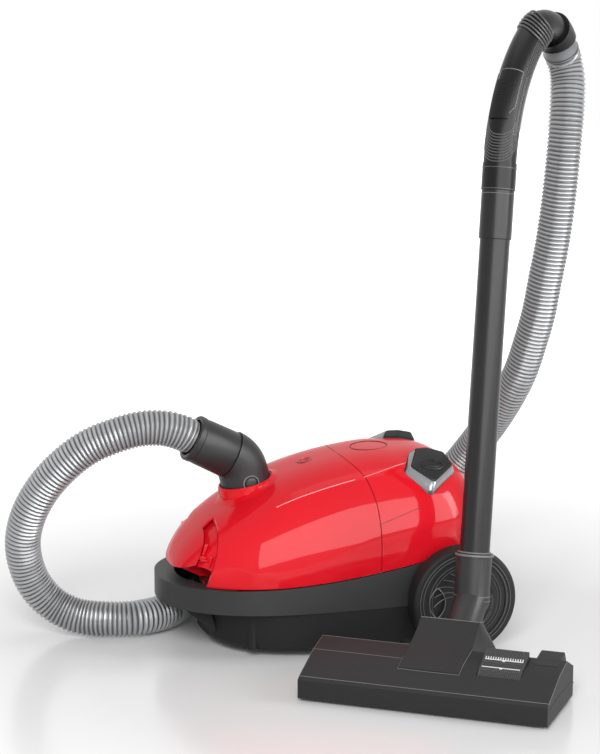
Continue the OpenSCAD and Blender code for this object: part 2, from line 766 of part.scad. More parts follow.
// Swivelling fork of the front caster
module caster_fork() {
    color([0.14, 0.14, 0.15]) placed() difference() {
        translate([caster_x, 0, 0]) {
            translate([0, 0, 36]) cylinder(r = caster_well_r - 9, h = 4);
            translate([0, 0, 39]) cylinder(r = stem_r, h = 17.5);
            for (y = [-caster_track - 3.5, caster_track]) translate([0, y + 3.5, 0]) rotate([90, 0, 0])
                linear_extrude(height = 3.5)
                    polygon([[-9, 37], [-9, 31], [3, 13], [8, 11], [15, 13], [18, 24], [14, 37]]);
        }
        rod_y([caster_x + caster_trail, caster_r], caster_axle_r + seat_gap, -20, 20);
    }
}

module caster_wheel() {
    color([0.05, 0.05, 0.05]) placed()
        ring_y([caster_x + caster_trail, caster_r], caster_r, caster_axle_r + run_gap,
            0.5 - caster_track, caster_track - 0.5);
}

module caster_axle() {
    color([0.7, 0.7, 0.72]) placed() rod_y([caster_x + caster_trail, caster_r],
        caster_axle_r, -caster_track - 3.3, caster_track + 3.3);
}

// Frame that carries the dust bag's card under the inlet
module bag_holder() {
    color([0.3, 0.3, 0.31]) placed() {
        at_inlet() translate([0, 0, -34.5]) tube(38, 30, 2.5);
        translate([inlet_at[0] + 36, -12, inlet_at[2] - 28])
            cube([bulkhead_x - inlet_at[0] - 36, 24, 3]);
    }
}

module bag_card() {
    color([0.75, 0.62, 0.45]) placed() at_inlet() translate([0, 0, -32]) tube(34, 22, 2.5);
}

// A point of a circle round the inlet's axis
function inlet_point(r, a, z) = inlet_at + [r * cos(a) * cos(inlet_tilt) + z * sin(inlet_tilt),
    r * sin(a), z * cos(inlet_tilt) - r * cos(a) * sin(inlet_tilt)];

// Filled dust bag with its neck against the card
module dust_bag() {
    belly = [inlet_at[0] + 20, 0, inlet_at[2] - 81];
    color([0.88, 0.84, 0.76]) placed() skin(concat(
        [for (v = [-75 : 15 : 45]) [for (a = [0 : 15 : 345])
            belly + [bag_half * cos(v) * cos(a), 1.5 * bag_half * cos(v) * sin(a), 41 * sin(v)]]],
        [for (z = [-44, -32]) [for (a = [0 : 15 : 345]) inlet_point(24, a, z)]]));
}

// Silver bezels of the two foot pedals
module pedal_bezels() {
    color([0.6, 0.6, 0.62]) placed() for (far = [false, true]) at_pedal(far) difference() {
        translate([0, 0, -12]) linear_extrude(height = 16) pedal_outline(1, 0);
        translate([0, 0, -13]) linear_extrude(height = 20) pedal_outline(0.8, fit_gap);
    }
}

module pedal_cap(far) {
    color([0.09, 0.09, 0.1]) placed() at_pedal(far) translate([0, 0, -6])
        linear_extrude(height = 11.5) pedal_outline(0.8, 0);
}

module power_pedal() { pedal_cap(false); }
module rewind_pedal() { pedal_cap(true); }

module body_screws() {
    color([0.7, 0.7, 0.72]) placed() for (x = screw_x, s = [-1, 1])
        translate([x, s * screw_y(x), tray_floor + 1.5]) {
            cylinder(r = 2 * screw_r, h = 3.5);
            cylinder(r = screw_r, h = band_bottom + 10 - tray_floor);
        }
}

// Section of the lid's inside, drawn in Y and Z
function lid_section(x, half, bottom, inset) = concat(
    [for (y = [-half : half / 12 : half + 0.1]) [y, cover_height(x, y, inset)]],
    [[half, bottom], [-half, bottom]]);

// Station of a groove's rear edge and of its front edge, at a height
function cheek_x(z) = 29 - nose_reach + (z - lid_foot) * tan(cheek_lean);
function lobe_x(z) = 9.5 - nose_reach + (z - lid_foot) * tan(lobe_lean);
// Height of the nose's lower edge, which leaves room for fingers under it
function lobe_foot(x) = lid_foot + 11.5 + (x + nose_reach - 2) * 0.6;

// What is taken from the lid to set off its nose: a groove down each side and a finger gap
module nose_cut() {
    top = band_top + 90;
    front = -handle_reach - 2;
    difference() {
        across(3 * band_half) polygon([[lobe_x(latch_foot), latch_foot], [lobe_x(top), top],
            [cheek_x(top), top], [cheek_x(latch_foot), latch_foot]]);
        translate([front, -bridge_half, latch_pin[1] + 10])
            cube([latch_wall + 30 - front, 2 * bridge_half, 60]);
    }
    across(3 * band_half) polygon([[front, latch_foot], [front, lobe_foot(front)],
        [lobe_x(lid_foot + 22), lobe_foot(lobe_x(lid_foot + 22))], [cheek_x(lid_foot), lid_foot],
        [cheek_x(latch_foot), latch_foot]]);
}

// Tilting front lid over the dust chamber
module front_lid() {
    color([0.86, 0.07, 0.08]) placed() difference() {
        union() {
            difference() {
                cover(-1);
                nose_cut();
            }
            translate([latch_wall, 0, 0]) rotate([90, 0, 90]) linear_extrude(height = 2.4)
                polygon(lid_section(latch_wall + 2, latch_half + 2, latch_pin[1] + 5, rib_inset));
            for (y = [-latch_half - 2.5, latch_half + 0.5]) translate([0, y + 2, 0])
                rotate([90, 0, 0]) linear_extrude(height = 2)
                    polygon(concat(
                        [for (x = [latch_wall - 30 : 4 : partition_x + 1])
                            [x, cover_height(x, y, x < latch_wall - 12 ? 1.2 : rib_inset)]],
                        [[partition_x + 1, lid_foot], [latch_wall - 8, lid_foot],
                            [latch_wall - 30, lobe_foot(latch_wall - 30)]]));
            translate([partition_x, 0, 0]) rotate([90, 0, 90]) linear_extrude(height = 2)
                polygon(lid_section(partition_x,
                    plan_w(partition_x, nose_reach, body_rear, cover_half) - 3, lid_foot, 1.2));
            rod_y(hinge_at, hinge_r, -9.5, 9.5);
        }
        for (far = [0, 1]) mirror([0, far, 0]) rod_y(hinge_at, hinge_r + fit_gap, -18.3, -9.8);
        rod_y(hinge_at, hinge_pin_r + run_gap, -20, 20);
        rod_y(latch_pin, latch_pin_r + run_gap, -latch_half - 4, latch_half + 4);
        at_inlet() translate([0, 0, -40]) cylinder(r = collar_r + fit_gap, h = 80);
        translate([indicator_x, 0, crown_z(indicator_x, 0)]) rotate([0, inlet_tilt, 0])
            translate([0, 0, -15]) cylinder(r = lens_r, h = 30);
    }
}

module lid_hinge_pins() {
    color([0.7, 0.7, 0.72]) placed() rod_y(hinge_at, hinge_pin_r, -17.5, 17.5);
}

module inlet_collar() {
    color([0.86, 0.07, 0.08]) placed() at_inlet() translate([0, 0, -26]) {
        tube(collar_r, elbow_r - 1.8, 26);
        tube(collar_r + 5, collar_r - 1, 3);
    }
}

// Elbow between the inlet and the hose
module inlet_elbow() {
    $fn = 48;
    color([0.16, 0.16, 0.17]) placed() at_inlet() difference() {
        union() {
            translate([0, 0, -22]) cylinder(r = elbow_r - 2.1, h = 23);
            cylinder(r = elbow_r, h = elbow_rise);
            translate([0, 0, elbow_rise]) rotate([0, 0, 90]) {
                bend(elbow_bend, elbow_turn, elbow_r);
                past_bend(elbow_bend, elbow_turn) translate([0, 0, -cut])
                    cylinder(r = elbow_r - 4, h = 12 + cut);
            }
        }
        translate([0, 0, -23]) cylinder(r = elbow_bore, h = elbow_rise + 23);
        translate([0, 0, elbow_rise]) rotate([0, 0, 90]) {
            bend(elbow_bend, elbow_turn, elbow_bore);
            past_bend(elbow_bend, elbow_turn) cylinder(r = elbow_bore, h = 14);
        }
        rod_y([0, 9], 7.8, -34, -10);
    }
}

// Release button on the elbow
module elbow_button() {
    color([0.2, 0.2, 0.21]) placed() at_inlet() rod_y([0, 9], 7.5, -elbow_r - 0.6, -24);
}

module front_hose_cuff() {
    color([0.16, 0.16, 0.17]) placed() at_front_cuff() rotate_extrude()
        polygon([[elbow_r - 3.7, fit_gap], [elbow_r - 1.5, fit_gap], [elbow_r - 3, cuff_len],
            [hose_r - 2, cuff_len], [hose_r - 2, 14], [elbow_r - 3.7, 14]]);
}

module indicator_lens() {
    color([0.86, 0.07, 0.08]) placed() translate([indicator_x, 0, crown_z(indicator_x, 0)])
        rotate([0, inlet_tilt, 0]) translate([0, 0, -3]) cylinder(r = lens_r - fit_gap, h = 3.6);
}

module lid_latch() {
    color([0.86, 0.07, 0.08]) placed() {
        translate([latch_wall + 0.2, -latch_half + 1.5, latch_foot + 6])
            cube([3.5, 2 * latch_half - 3, latch_pin[1] - latch_foot - 3]);
        translate([latch_wall + 3, -tongue_half, latch_foot]) cube([3.7, 2 * tongue_half, 3]);
        translate([latch_wall + 1.5, -tongue_half, latch_foot]) cube([2.2, 2 * tongue_half, 7]);
        rod_y(latch_pin, latch_pin_r, -latch_half - 2, latch_half + 2);
    }
}

module hose_front() {
    color([0.55, 0.56, 0.58]) placed() swept(hose_route, 0, hose_split, hose_r, 10, 0);
}

module hose_rear() {
    color([0.55, 0.56, 0.58]) placed()
        swept(hose_route, hose_split, len(hose_route) - 1, hose_r, 10, fit_gap);
}

neck_run = [wand_foot[1] - sleeve_len * sin(wand_lean) - neck_axis[1],
    wand_foot[2] - sleeve_len * cos(wand_lean) - neck_axis[2]];
neck_lean = atan2(neck_run[0], neck_run[1]);

// Knuckle, neck and sleeve between the floor head and the wand
module neck_tube() {
    color([0.15, 0.15, 0.16]) placed() difference() {
        union() {
            at_head() translate(neck_axis) {
                rotate([0, 90, 0]) cylinder(r = knuckle_r, h = 2 * knuckle_half, center = true);
                rotate([-neck_lean, 0, 0]) cylinder(r = knuckle_r - 1, h = norm(neck_run));
            }
            at_wand() translate([0, 0, -sleeve_len]) {
                sphere(r = knuckle_r + 0.6);
                cylinder(r = knuckle_r, h = sleeve_len);
                translate([0, 0, sleeve_len - 3]) cylinder(r = knuckle_r + 1.5, h = 3);
            }
        }
        at_head() translate(neck_axis) {
            rotate([-neck_lean, 0, 0]) cylinder(r = neck_bore, h = norm(neck_run));
            rotate([-neck_lean - 130, 0, 0]) cylinder(r = neck_bore - 1.5, h = 30);
            for (a = [-90, 90]) rotate([0, a, 0]) translate([0, 0, neck_bore + 0.5])
                cylinder(r = neck_pin_r + run_gap, h = 20);
        }
        at_wand() translate([0, 0, -sleeve_len]) {
            sphere(r = neck_bore + 1.5);
            translate([0, 0, 6]) cylinder(r = wand_r + seat_gap, h = sleeve_len);
        }
    }
}

module wand_tube() {
    color([0.15, 0.15, 0.16]) placed() at_wand() difference() {
        union() {
            translate([0, 0, 6 - sleeve_len]) cylinder(r = wand_r, h = wand_len + sleeve_len - 6);
            translate([0, 0, wand_len - 55]) cylinder(r = wand_r + 1.5, h = 55);
        }
        translate([0, 0, -sleeve_len])
            cylinder(r = wand_r - wand_wall, h = wand_len + sleeve_len + cut);
    }
}

// Curved handle with its hose socket
module handle_pipe() {
    $fn = 44;
    color([0.15, 0.15, 0.16]) placed() at_grip() difference() {
        union() {
            translate([0, 0, -30]) cylinder(r = wand_r - wand_wall - seat_gap, h = 31);
            cylinder(r = grip_r + 0.7, h = grip_straight);
            translate([0, 0, grip_straight]) {
                bend(long_bend, long_turn, grip_r);
                past_bend(long_bend, long_turn) bend(tight_bend, tight_turn, grip_r);
                past_bend(long_bend, long_turn) past_bend(tight_bend, tight_turn - 24)
                    bend(tight_bend, 24, grip_r + 4);
            }
        }
        translate([0, 0, -31]) cylinder(r = grip_r - 5, h = grip_straight + 31);
        translate([0, 0, grip_straight]) {
            bend(long_bend, long_turn, grip_r - 5);
            past_bend(long_bend, long_turn) {
                bend(tight_bend, tight_turn, grip_r - 5);
                past_bend(tight_bend, tight_turn - 22)
                    bend(tight_bend, 22.5, grip_r + 2.3);
            }
            past_bend(long_bend, slider_from + slider_span / 2) rotate([90, 0, 0])
                cylinder(r = 4, h = 30);
        }
    }
}

// Slider that opens the air bleed in the handle
module suction_slider() {
    color([0.12, 0.12, 0.13]) placed() at_grip() translate([0, long_bend, grip_straight])
        rotate([90, 0, -90]) rotate([0, 0, slider_from]) rotate_extrude(angle = slider_span)
            translate([long_bend, 0]) intersection() {
                difference() {
                    circle(r = grip_r + 2.6);
                    circle(r = grip_r + fit_gap);
                }
                polygon([[0, 0], [40, 40 * tan(slider_wide)], [40, -40 * tan(slider_wide)]]);
            }
}

module rear_hose_cuff() {
    color([0.45, 0.46, 0.48]) placed() at_grip_end() difference() {
        translate([0, 0, 0]) cylinder(r = grip_r + 2, h = cuff_out);
        translate([0, 0, -cut]) cylinder(r = 16, h = cuff_out + 2 * cut);
    }
}

// Lays a profile drawn in V and Z across the floor head
module along_head(width) {
    rotate([90, 0, 90]) linear_extrude(height = width, center = true) children();
}

head_half = head_d / 2;
slot_half = head_w / 2 - 44;
slot_at = -24;
head_top = [[-head_half + 5, 27], [-12, 44], [20, 50], [head_half, 30]];
rocker_u = [50, 99];
rocker_v = [-26, 17.7];

module head_profile(inset) {
    polygon(concat([[-head_half + inset, 3], [-head_half + inset, 24 - inset]],
        [for (p = head_top) [p[0] - sign(p[0]) * (abs(p[0]) > 40 ? inset : 0), p[1] - inset]],
        [[head_half - inset, 3]]));
}

// Upper shell of the floor head
module head_shell() {
    color([0.17, 0.17, 0.18]) placed() at_head() difference() {
        union() {
            difference() {
                along_head(head_w) head_profile(0);
                difference() {
                    translate([0, 0, -cut]) along_head(head_w - 6) head_profile(3);
                    translate([rocker_u[0] - 3, rocker_v[0] - 3, 15])
                        cube([rocker_u[1] - rocker_u[0] + 6, rocker_v[1] - rocker_v[0] + 6, 50]);
                }
                translate([-head_w / 2 + 3, -head_half + 3, 0]) cube([head_w - 6, head_d - 6, 6]);
            }
        }
        for (s = [-1, 1]) translate([s * head_w / 2, head_half, 0]) rotate([0, 0, 45])
            cube([20, 20, 120], center = true);
        translate([rocker_u[0], rocker_v[0], 18])
            cube([rocker_u[1] - rocker_u[0], rocker_v[1] - rocker_v[0], 50]);
        rod_u(rocker_axis, 2 + run_gap, rocker_u[0] - 2, rocker_u[1] + 2);
        neck_pocket();
    }
}

rocker_axis = [-4.5, 36];

// Rod along the head's width through a point of its V, Z plane
module rod_u(at, r, from, to) {
    translate([from, at[0], at[1]]) rotate([0, 90, 0]) cylinder(r = r, h = to - from);
}

// Room that the knuckle and the neck need while the wand leans back
module neck_pocket() {
    half = knuckle_half + fit_gap;
    rod_u([neck_axis[1], neck_axis[2]], knuckle_swing, neck_axis[0] - half, neck_axis[0] + half);
    translate([neck_axis[0] - half, neck_axis[1] - knuckle_swing, 20])
        cube([2 * half, 60, neck_axis[2] - 20]);
    translate([neck_axis[0] - half, neck_axis[1] - 7, 20]) cube([2 * half, 60, 80]);
}

// Sole of the floor head with its glide pads and suction slot
module sole_plate() {
    color([0.12, 0.12, 0.12]) placed() at_head() difference() {
        union() {
            translate([-head_w / 2 + 3 + fit_gap, -head_half + 3 + fit_gap, 3])
                cube([head_w - 6 - 2 * fit_gap, head_d - 6 - 2 * fit_gap, 3]);
            for (v = [-head_half + 8, head_half - 29]) translate([-slot_half - 5, v, 0])
                cube([2 * slot_half + 10, 10, 4]);
        }
        translate([-slot_half, slot_at, -cut]) cube([2 * slot_half, 18, 8]);
        for (s = [-1, 1]) translate([s * head_w / 2, head_half, 0]) rotate([0, 0, 45])
            cube([24.4, 24.4, 120], center = true);
    }
}

module neck_block() {
    color([0.17, 0.17, 0.18]) placed() at_head() difference() {
        translate([neck_axis[0] - 7 , 0, 0]) along_head(neck_w) polygon([[-29, 37.72], [-12, 44],
            [20, 50], [head_half, 30], [73, 34], [76, 54], [70, 68], [55, neck_top],
            [50, neck_top - 2.5], [40, 63.5], [25, 56.5], [10, 51.5], [-10, 46.2], [-29, 39.5]]);
        neck_pocket();
        rod_u([neck_axis[1], neck_axis[2]], neck_pin_r + seat_gap, -60, 60);
    }
}

module neck_pins() {
    color([0.7, 0.7, 0.72]) placed() at_head() {
        rod_u([neck_axis[1], neck_axis[2]], neck_pin_r, -34, neck_axis[0] - neck_bore - 1);
        rod_u([neck_axis[1], neck_axis[2]], neck_pin_r, neck_axis[0] + neck_bore + 1, 31);
    }
}

// Foot rocker for carpet and hard floor
module rocker_pedal() {
    color([0.2, 0.2, 0.21]) placed() at_head() {
        translate([(rocker_u[0] + rocker_u[1]) / 2, 0, 0])
            along_head(rocker_u[1] - rocker_u[0] - 1) polygon([[-24, 32], [-24, 37],
                [-14, 45], [-5, 47], [6, 54], [13, 58], [15, 57], [15, 40], [6, 30], [-14, 30]]);
        rod_u(rocker_axis, 2, rocker_u[0] - 1.5, rocker_u[1] + 1.5);
    }
}

module brush_strip() {
    color([0.1, 0.1, 0.1]) placed() at_head() translate([-slot_half + 2, slot_at + 0.3, 0])
        cube([2 * slot_half - 4, 6, 10]);
}

bumper_band();
lower_tray();
rear_cover();
badge_disc();
bulkhead();
motor_filter();
front_motor_mount();
fan_casing();
fan_impeller();
motor_stator();
motor_armature();
motor_shaft();
end_bracket();
motor_bearings();
carbon_brushes();
motor_cradle();
reel_frame();
reel_drum();
reel_spring_case();
reel_brake();
power_switch();
exhaust_grille();
exhaust_filter();
cord_outlet();
wheel_axles();
near_wheel_hub();
near_tyre();
far_wheel_hub();
far_tyre();
caster_fork();
caster_wheel();
caster_axle();
bag_holder();
bag_card();
dust_bag();
pedal_bezels();
power_pedal();
rewind_pedal();
body_screws();
front_lid();
lid_hinge_pins();
inlet_collar();
inlet_elbow();
elbow_button();
front_hose_cuff();
indicator_lens();
lid_latch();
hose_front();
hose_rear();
neck_tube();
wand_tube();
handle_pipe();
suction_slider();
rear_hose_cuff();
head_shell();
sole_plate();
neck_block();
neck_pins();
rocker_pedal();
brush_strip();
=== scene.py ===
# %% [markdown]
# # A canister vacuum cleaner
# The machine is a canister on three wheels, with a hose, a wand and a floor head. Its solids
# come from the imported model, which already has every piece in place, in metres. This lesson
# gives those pieces their finish, and models the ones whose shape needs more than the solid.

# %% Load the frame
import json
import math

import bmesh
import bpy
from mathutils import Matrix, Vector


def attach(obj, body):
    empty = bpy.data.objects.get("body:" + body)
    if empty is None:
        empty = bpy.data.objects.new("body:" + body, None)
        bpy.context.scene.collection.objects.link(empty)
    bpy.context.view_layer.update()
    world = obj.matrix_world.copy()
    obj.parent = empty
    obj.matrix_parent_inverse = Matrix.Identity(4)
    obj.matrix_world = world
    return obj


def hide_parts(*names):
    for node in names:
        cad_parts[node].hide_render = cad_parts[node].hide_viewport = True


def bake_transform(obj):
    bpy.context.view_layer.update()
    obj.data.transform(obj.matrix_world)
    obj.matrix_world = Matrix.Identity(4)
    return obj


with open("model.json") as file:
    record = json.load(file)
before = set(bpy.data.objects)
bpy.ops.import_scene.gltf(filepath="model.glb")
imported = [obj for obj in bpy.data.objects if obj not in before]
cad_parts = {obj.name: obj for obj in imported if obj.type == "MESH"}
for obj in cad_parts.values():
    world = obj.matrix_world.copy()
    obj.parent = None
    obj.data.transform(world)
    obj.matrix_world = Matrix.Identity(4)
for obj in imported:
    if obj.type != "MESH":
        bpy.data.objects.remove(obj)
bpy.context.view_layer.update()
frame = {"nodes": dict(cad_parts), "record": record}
nodes = frame["nodes"]
body_of_node = {n: b for b, ns in frame["record"]["behaviour"]["bodies"].items() for n in ns}
slot_of_node = {s["node"]: s["material_slot"] for s in frame["record"]["subparts"]}

# %% [markdown]
# ## The camera
# A long lens stands a good two and a half metres away, a little above the machine and to its
# left, so the canister's side and nose both show and nothing is stretched.

# %% Camera
CAMERA_AT = Vector((-0.89185, -2.48655, 0.8500))
LOOK = Vector((0.29006, 0.93707, -0.19423))
LENS_MM, SENSOR_MM, SEES_TO = 114.75, 36, 50

camera_data = bpy.data.cameras.new("studio_camera")
camera_data.lens, camera_data.sensor_width = LENS_MM, SENSOR_MM
camera_data.clip_end = SEES_TO
camera = bpy.data.objects.new("studio_camera", camera_data)
camera.location = CAMERA_AT
camera.rotation_mode = "QUATERNION"
camera.rotation_quaternion = LOOK.to_track_quat("-Z", "Y")
bpy.context.scene.collection.objects.link(camera)
bpy.context.scene.camera = camera
print("camera stands", round(CAMERA_AT.z, 2), "m high with a", LENS_MM, "mm lens")

# %% [markdown]
# ## Helpers for meshes
# Most pieces start as a bmesh. One helper turns a finished bmesh into an object that rides on
# its body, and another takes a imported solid, merges its loose triangles and rounds its edges.

# %% Mesh helpers
MIDDLE = Vector((0.07395, 0.13465, 0))
SHARP_TURN, BEVEL_TURN, BEVEL_STEPS, SMALL_EDGE = 32, 34, 2, 0.0005
MERGE_GAP, SOLID_GAP, FLAT_TURN = 1e-6, 2e-5, 0.6


def shade(bm, sharp=SHARP_TURN):
    """Smooth faces, with edges kept crisp where the surface turns by more than sharp degrees."""
    for face in bm.faces:
        face.smooth = True
    for edge in bm.edges:
        edge.smooth = len(edge.link_faces) != 2 or edge.calc_face_angle(0) < math.radians(sharp)


def piece_from(bm, name, body, material, stands_for=(), sharp=SHARP_TURN, bevel=0.0):
    """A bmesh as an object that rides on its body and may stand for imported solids."""
    shade(bm, sharp)
    mesh = bpy.data.meshes.new(name)
    bm.to_mesh(mesh)
    bm.free()
    obj = bpy.data.objects.new(name, mesh)
    bpy.context.scene.collection.objects.link(obj)
    mesh.materials.append(material)
    if bevel:
        rounding = obj.modifiers.new("rounded edges", "BEVEL")
        rounding.width, rounding.segments = bevel, BEVEL_STEPS
        rounding.limit_method, rounding.angle_limit = "ANGLE", math.radians(BEVEL_TURN)
        rounding.harden_normals = True
    if body:
        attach(obj, body)
    if stands_for:
        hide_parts(*stands_for)
    return obj


def merged(node):
    """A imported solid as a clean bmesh: doubles merged and flat faces joined."""
    bm = bmesh.new()
    bm.from_mesh(nodes[node].data)
    bmesh.ops.remove_doubles(bm, verts=bm.verts, dist=SOLID_GAP)
    bmesh.ops.dissolve_limit(bm, angle_limit=math.radians(FLAT_TURN), verts=bm.verts,
                             edges=bm.edges, use_dissolve_boundaries=False, delimit=set())
    return bm


def dressed(node, material, bevel=SMALL_EDGE):
    """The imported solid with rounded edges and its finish."""
    return piece_from(merged(node), node + "_dressed", body_of_node[node], material,
                      (node,), bevel=bevel)


# %% [markdown]
# ## Places and more helpers
# Round pieces are made in their own upright directions and then set in place: the elbow on the
# lid's inlet, the cuff past the elbow's bend, the handle past the wand, and so on. A lathe spins
# a profile about its axis, a bead lays a thin round line along a path, and a block is a box
# with a size and a place.

# %% Places
MM = 0.001


def shift(x, y, z):
    return Matrix.Translation(Vector((x, y, z)) * MM)


def turned(angle, axis):
    return Matrix.Rotation(math.radians(angle), 4, axis)


def past_bend(radius, turn):
    """Where a pipe bend ends that starts upwards at the origin and leans towards +Y."""
    a = math.radians(turn)
    return shift(0, radius * (1 - math.cos(a)), radius * math.sin(a)) @ turned(-turn, "X")


MACHINE = Matrix.Translation(MIDDLE)
LID_SLOPE, ELBOW_BEND, ELBOW_TURN, WAND_LEAN, WAND_LONG = 12.7, 30, 49.8, 10.76, 409
AT_INLET = MACHINE @ shift(-220, 0, 182) @ turned(-LID_SLOPE, "Y")
ELBOW_END = AT_INLET @ shift(0, 0, 18) @ turned(90, "Z") @ past_bend(ELBOW_BEND, ELBOW_TURN)
AT_HEAD = MACHINE @ shift(-84.4, -278.8, 0) @ turned(-37, "Z")
AT_WAND = AT_HEAD @ shift(5, 125, 130) @ turned(-WAND_LEAN, "X")
AT_GRIP = AT_WAND @ shift(0, 0, WAND_LONG) @ turned(-10, "Z")
LONG_BEND, LONG_TURN, TIGHT_BEND, TIGHT_TURN, GRIP_STRAIGHT = 209.5, 47.8, 51.7, 82.3, 30
SLIDER_FROM = 12.5
print("the handle starts", round(AT_GRIP.translation.z, 3), "m above the floor")


# %% [markdown]
# ## Lathe, ring, bead, block and prism
# Round parts could start from ready cylinders and cones, but a turned part has a profile with
# lips and chamfers. A lathe spins that profile once, as a turner would cut it, so each lip is
# real. The other helpers do the same for lines, boxes and flat plates.

# %% Lathe, bead and block
ROUND_SIDES, LIP, SMALL_STEPS = 64, 0.35, 2


def lathe(profile, place, sides=ROUND_SIDES, closed=False):
    """Spins (radius, height) points in millimetres about the Z axis, then sets them in place."""
    bm = bmesh.new()
    verts = [bm.verts.new((r * MM, 0, z * MM)) for r, z in profile]
    edges = [bm.edges.new(pair) for pair in zip(verts, verts[1:])]
    if closed:
        edges.append(bm.edges.new((verts[-1], verts[0])))
    bmesh.ops.spin(bm, geom=verts + edges, axis=(0, 0, 1), cent=(0, 0, 0), angle=2 * math.pi,
                   steps=sides, use_merge=True)
    bmesh.ops.remove_doubles(bm, verts=bm.verts, dist=MERGE_GAP)
    rims = [e for e in bm.edges if e.is_boundary]
    if rims:
        bmesh.ops.holes_fill(bm, edges=rims, sides=0)
    bmesh.ops.transform(bm, matrix=place, verts=bm.verts)
    bmesh.ops.recalc_face_normals(bm, faces=bm.faces)
    return bm


def ring(radius, height, thick, tall, place, sides=ROUND_SIDES):
    """A raised band with chamfered edges round an axis."""
    c = min(thick, tall) * LIP
    low, high = height - tall / 2, height + tall / 2
    return lathe([(radius - thick, low), (radius - c, low), (radius, low + c), (radius, high - c),
                  (radius - c, high), (radius - thick, high)], place, sides, closed=True)


def bead(points, radius, sides=6, closed=False):
    """A thin round line along points given in metres; radius in millimetres."""
    bm = bmesh.new()
    loops, side = [], Vector((0.3, 0.2, 0.9))
    count = len(points)
    for i, here in enumerate(points):
        ahead = points[(i + 1) % count] if closed else points[min(i + 1, count - 1)]
        behind = points[i - 1] if closed or i else points[0]
        along = (ahead - behind).normalized()
        side = (side - along * side.dot(along)).normalized()
        up = along.cross(side)
        verts = [bm.verts.new(here + radius * MM * (math.cos(a) * side + math.sin(a) * up))
                 for a in (2 * math.pi * k / sides for k in range(sides))]
        loops.append([bm.edges.new((verts[k - 1], verts[k])) for k in range(sides)])
    for low, high in zip(loops, loops[1:]):
        bmesh.ops.bridge_loops(bm, edges=low + high)
    if closed:
        bmesh.ops.bridge_loops(bm, edges=loops[-1] + loops[0])
    else:
        bmesh.ops.contextual_create(bm, geom=loops[0])
        bmesh.ops.contextual_create(bm, geom=loops[-1])
    bmesh.ops.recalc_face_normals(bm, faces=bm.faces)
    return bm


def block(size, place, round_by=0.0):
    """A box of a size in millimetres about a place, with its edges rounded."""
    bm = bmesh.new()
    bmesh.ops.create_cube(bm, size=1, matrix=Matrix.Diagonal((*(Vector(size) * MM), 1)))
    if round_by:
        bmesh.ops.bevel(bm, geom=bm.edges, offset=round_by * MM, segments=SMALL_STEPS,
                        profile=0.5, affect="EDGES", material=-1)
    bmesh.ops.transform(bm, matrix=place, verts=bm.verts)
    return bm


def prism(outline, thick, place):
    """A flat outline in X and Y, in millimetres, made thick along Z and set in place."""
    bm = bmesh.new()
    verts = [bm.verts.new((x * MM, y * MM, -thick / 2 * MM)) for x, y in outline]
    face = bm.faces.new(verts)
    grown = bmesh.ops.extrude_face_region(bm, geom=[face])["geom"]
    bmesh.ops.translate(bm, vec=(0, 0, thick * MM),
                        verts=[g for g in grown if isinstance(g, bmesh.types.BMVert)])
    bmesh.ops.transform(bm, matrix=place, verts=bm.verts)
    bmesh.ops.recalc_face_normals(bm, faces=bm.faces)
    return bm


def joined(parts):
    """Several bmeshes as one."""
    bm = bmesh.new()
    for part in parts:
        mesh = bpy.data.meshes.new("part")
        part.to_mesh(mesh)
        part.free()
        bm.from_mesh(mesh)
        bpy.data.meshes.remove(mesh)
    return bm


# %% [markdown]
# ## Finishes
# Moulded plastic is never one flat colour: it has a fine grain, faint flow marks and slightly
# uneven gloss. One builder makes each finish from a few numbers, with its noise in metres on
# the piece's own coordinates, so the pattern stays put when the piece moves.

# %% Node helper
def add_node(tree, kind, sockets=None, **traits):
    """A shader node with its traits set. A socket takes a value or another node's output."""
    made = tree.nodes.new("ShaderNode" + kind)
    for trait, value in traits.items():
        setattr(made, trait, value)
    for socket, value in (sockets or {}).items():
        if isinstance(value, bpy.types.NodeSocket):
            tree.links.new(value, made.inputs[socket])
        else:
            made.inputs[socket].default_value = value
    return made


# %% Finish builder
CLOUD_SCALE, CLOUD_DETAIL, SPECK_DETAIL, SPECK_HEIGHT, GLOSS_SPREAD = 18, 4, 2, 0.0003, 0.06
CAME_WITH_FRAME = len(bpy.data.materials)


def finish_of(name, colour, roughness, grain=0.0, grain_size=0.0008, mottle=0.04, coat=0.0,
              metallic=0.0, sheen=0.0, coat_roughness=0.06, specular=0.5):
    """A moulded finish: clouded colour and gloss, and a fine grain raised in its bump."""
    material = bpy.data.materials.new(name)
    material.use_nodes = True
    tree = material.node_tree
    shader = tree.nodes["Principled BSDF"]
    for socket, value in (("Metallic", metallic), ("Coat Weight", coat),
                          ("Coat Roughness", coat_roughness), ("Sheen Weight", sheen),
                          ("Specular IOR Level", specular)):
        shader.inputs[socket].default_value = value
    where = add_node(tree, "TexCoord").outputs["Object"]
    cloud = add_node(tree, "TexNoise", {"Scale": CLOUD_SCALE, "Detail": CLOUD_DETAIL,
                                        "Vector": where}).outputs["Fac"]
    tint = add_node(tree, "Mix", {
        "A": [*[c * (1 - mottle) for c in colour], 1],
        "B": [*[min(1, c * (1 + mottle) + mottle * 0.01) for c in colour], 1],
        "Factor": cloud}, data_type="RGBA")
    gloss = add_node(tree, "MapRange", {"To Min": max(0.02, roughness - GLOSS_SPREAD),
                                        "To Max": min(1, roughness + GLOSS_SPREAD),
                                        "Value": cloud})
    tree.links.new(tint.outputs["Result"], shader.inputs["Base Color"])
    tree.links.new(gloss.outputs["Result"], shader.inputs["Roughness"])
    if grain:
        speck = add_node(tree, "TexNoise", {"Scale": 1 / grain_size, "Detail": SPECK_DETAIL,
                                            "Vector": where})
        bump = add_node(tree, "Bump", {"Strength": grain, "Distance": SPECK_HEIGHT,
                                       "Height": speck.outputs["Fac"]})
        tree.links.new(bump.outputs["Normal"], shader.inputs["Normal"])
    return material


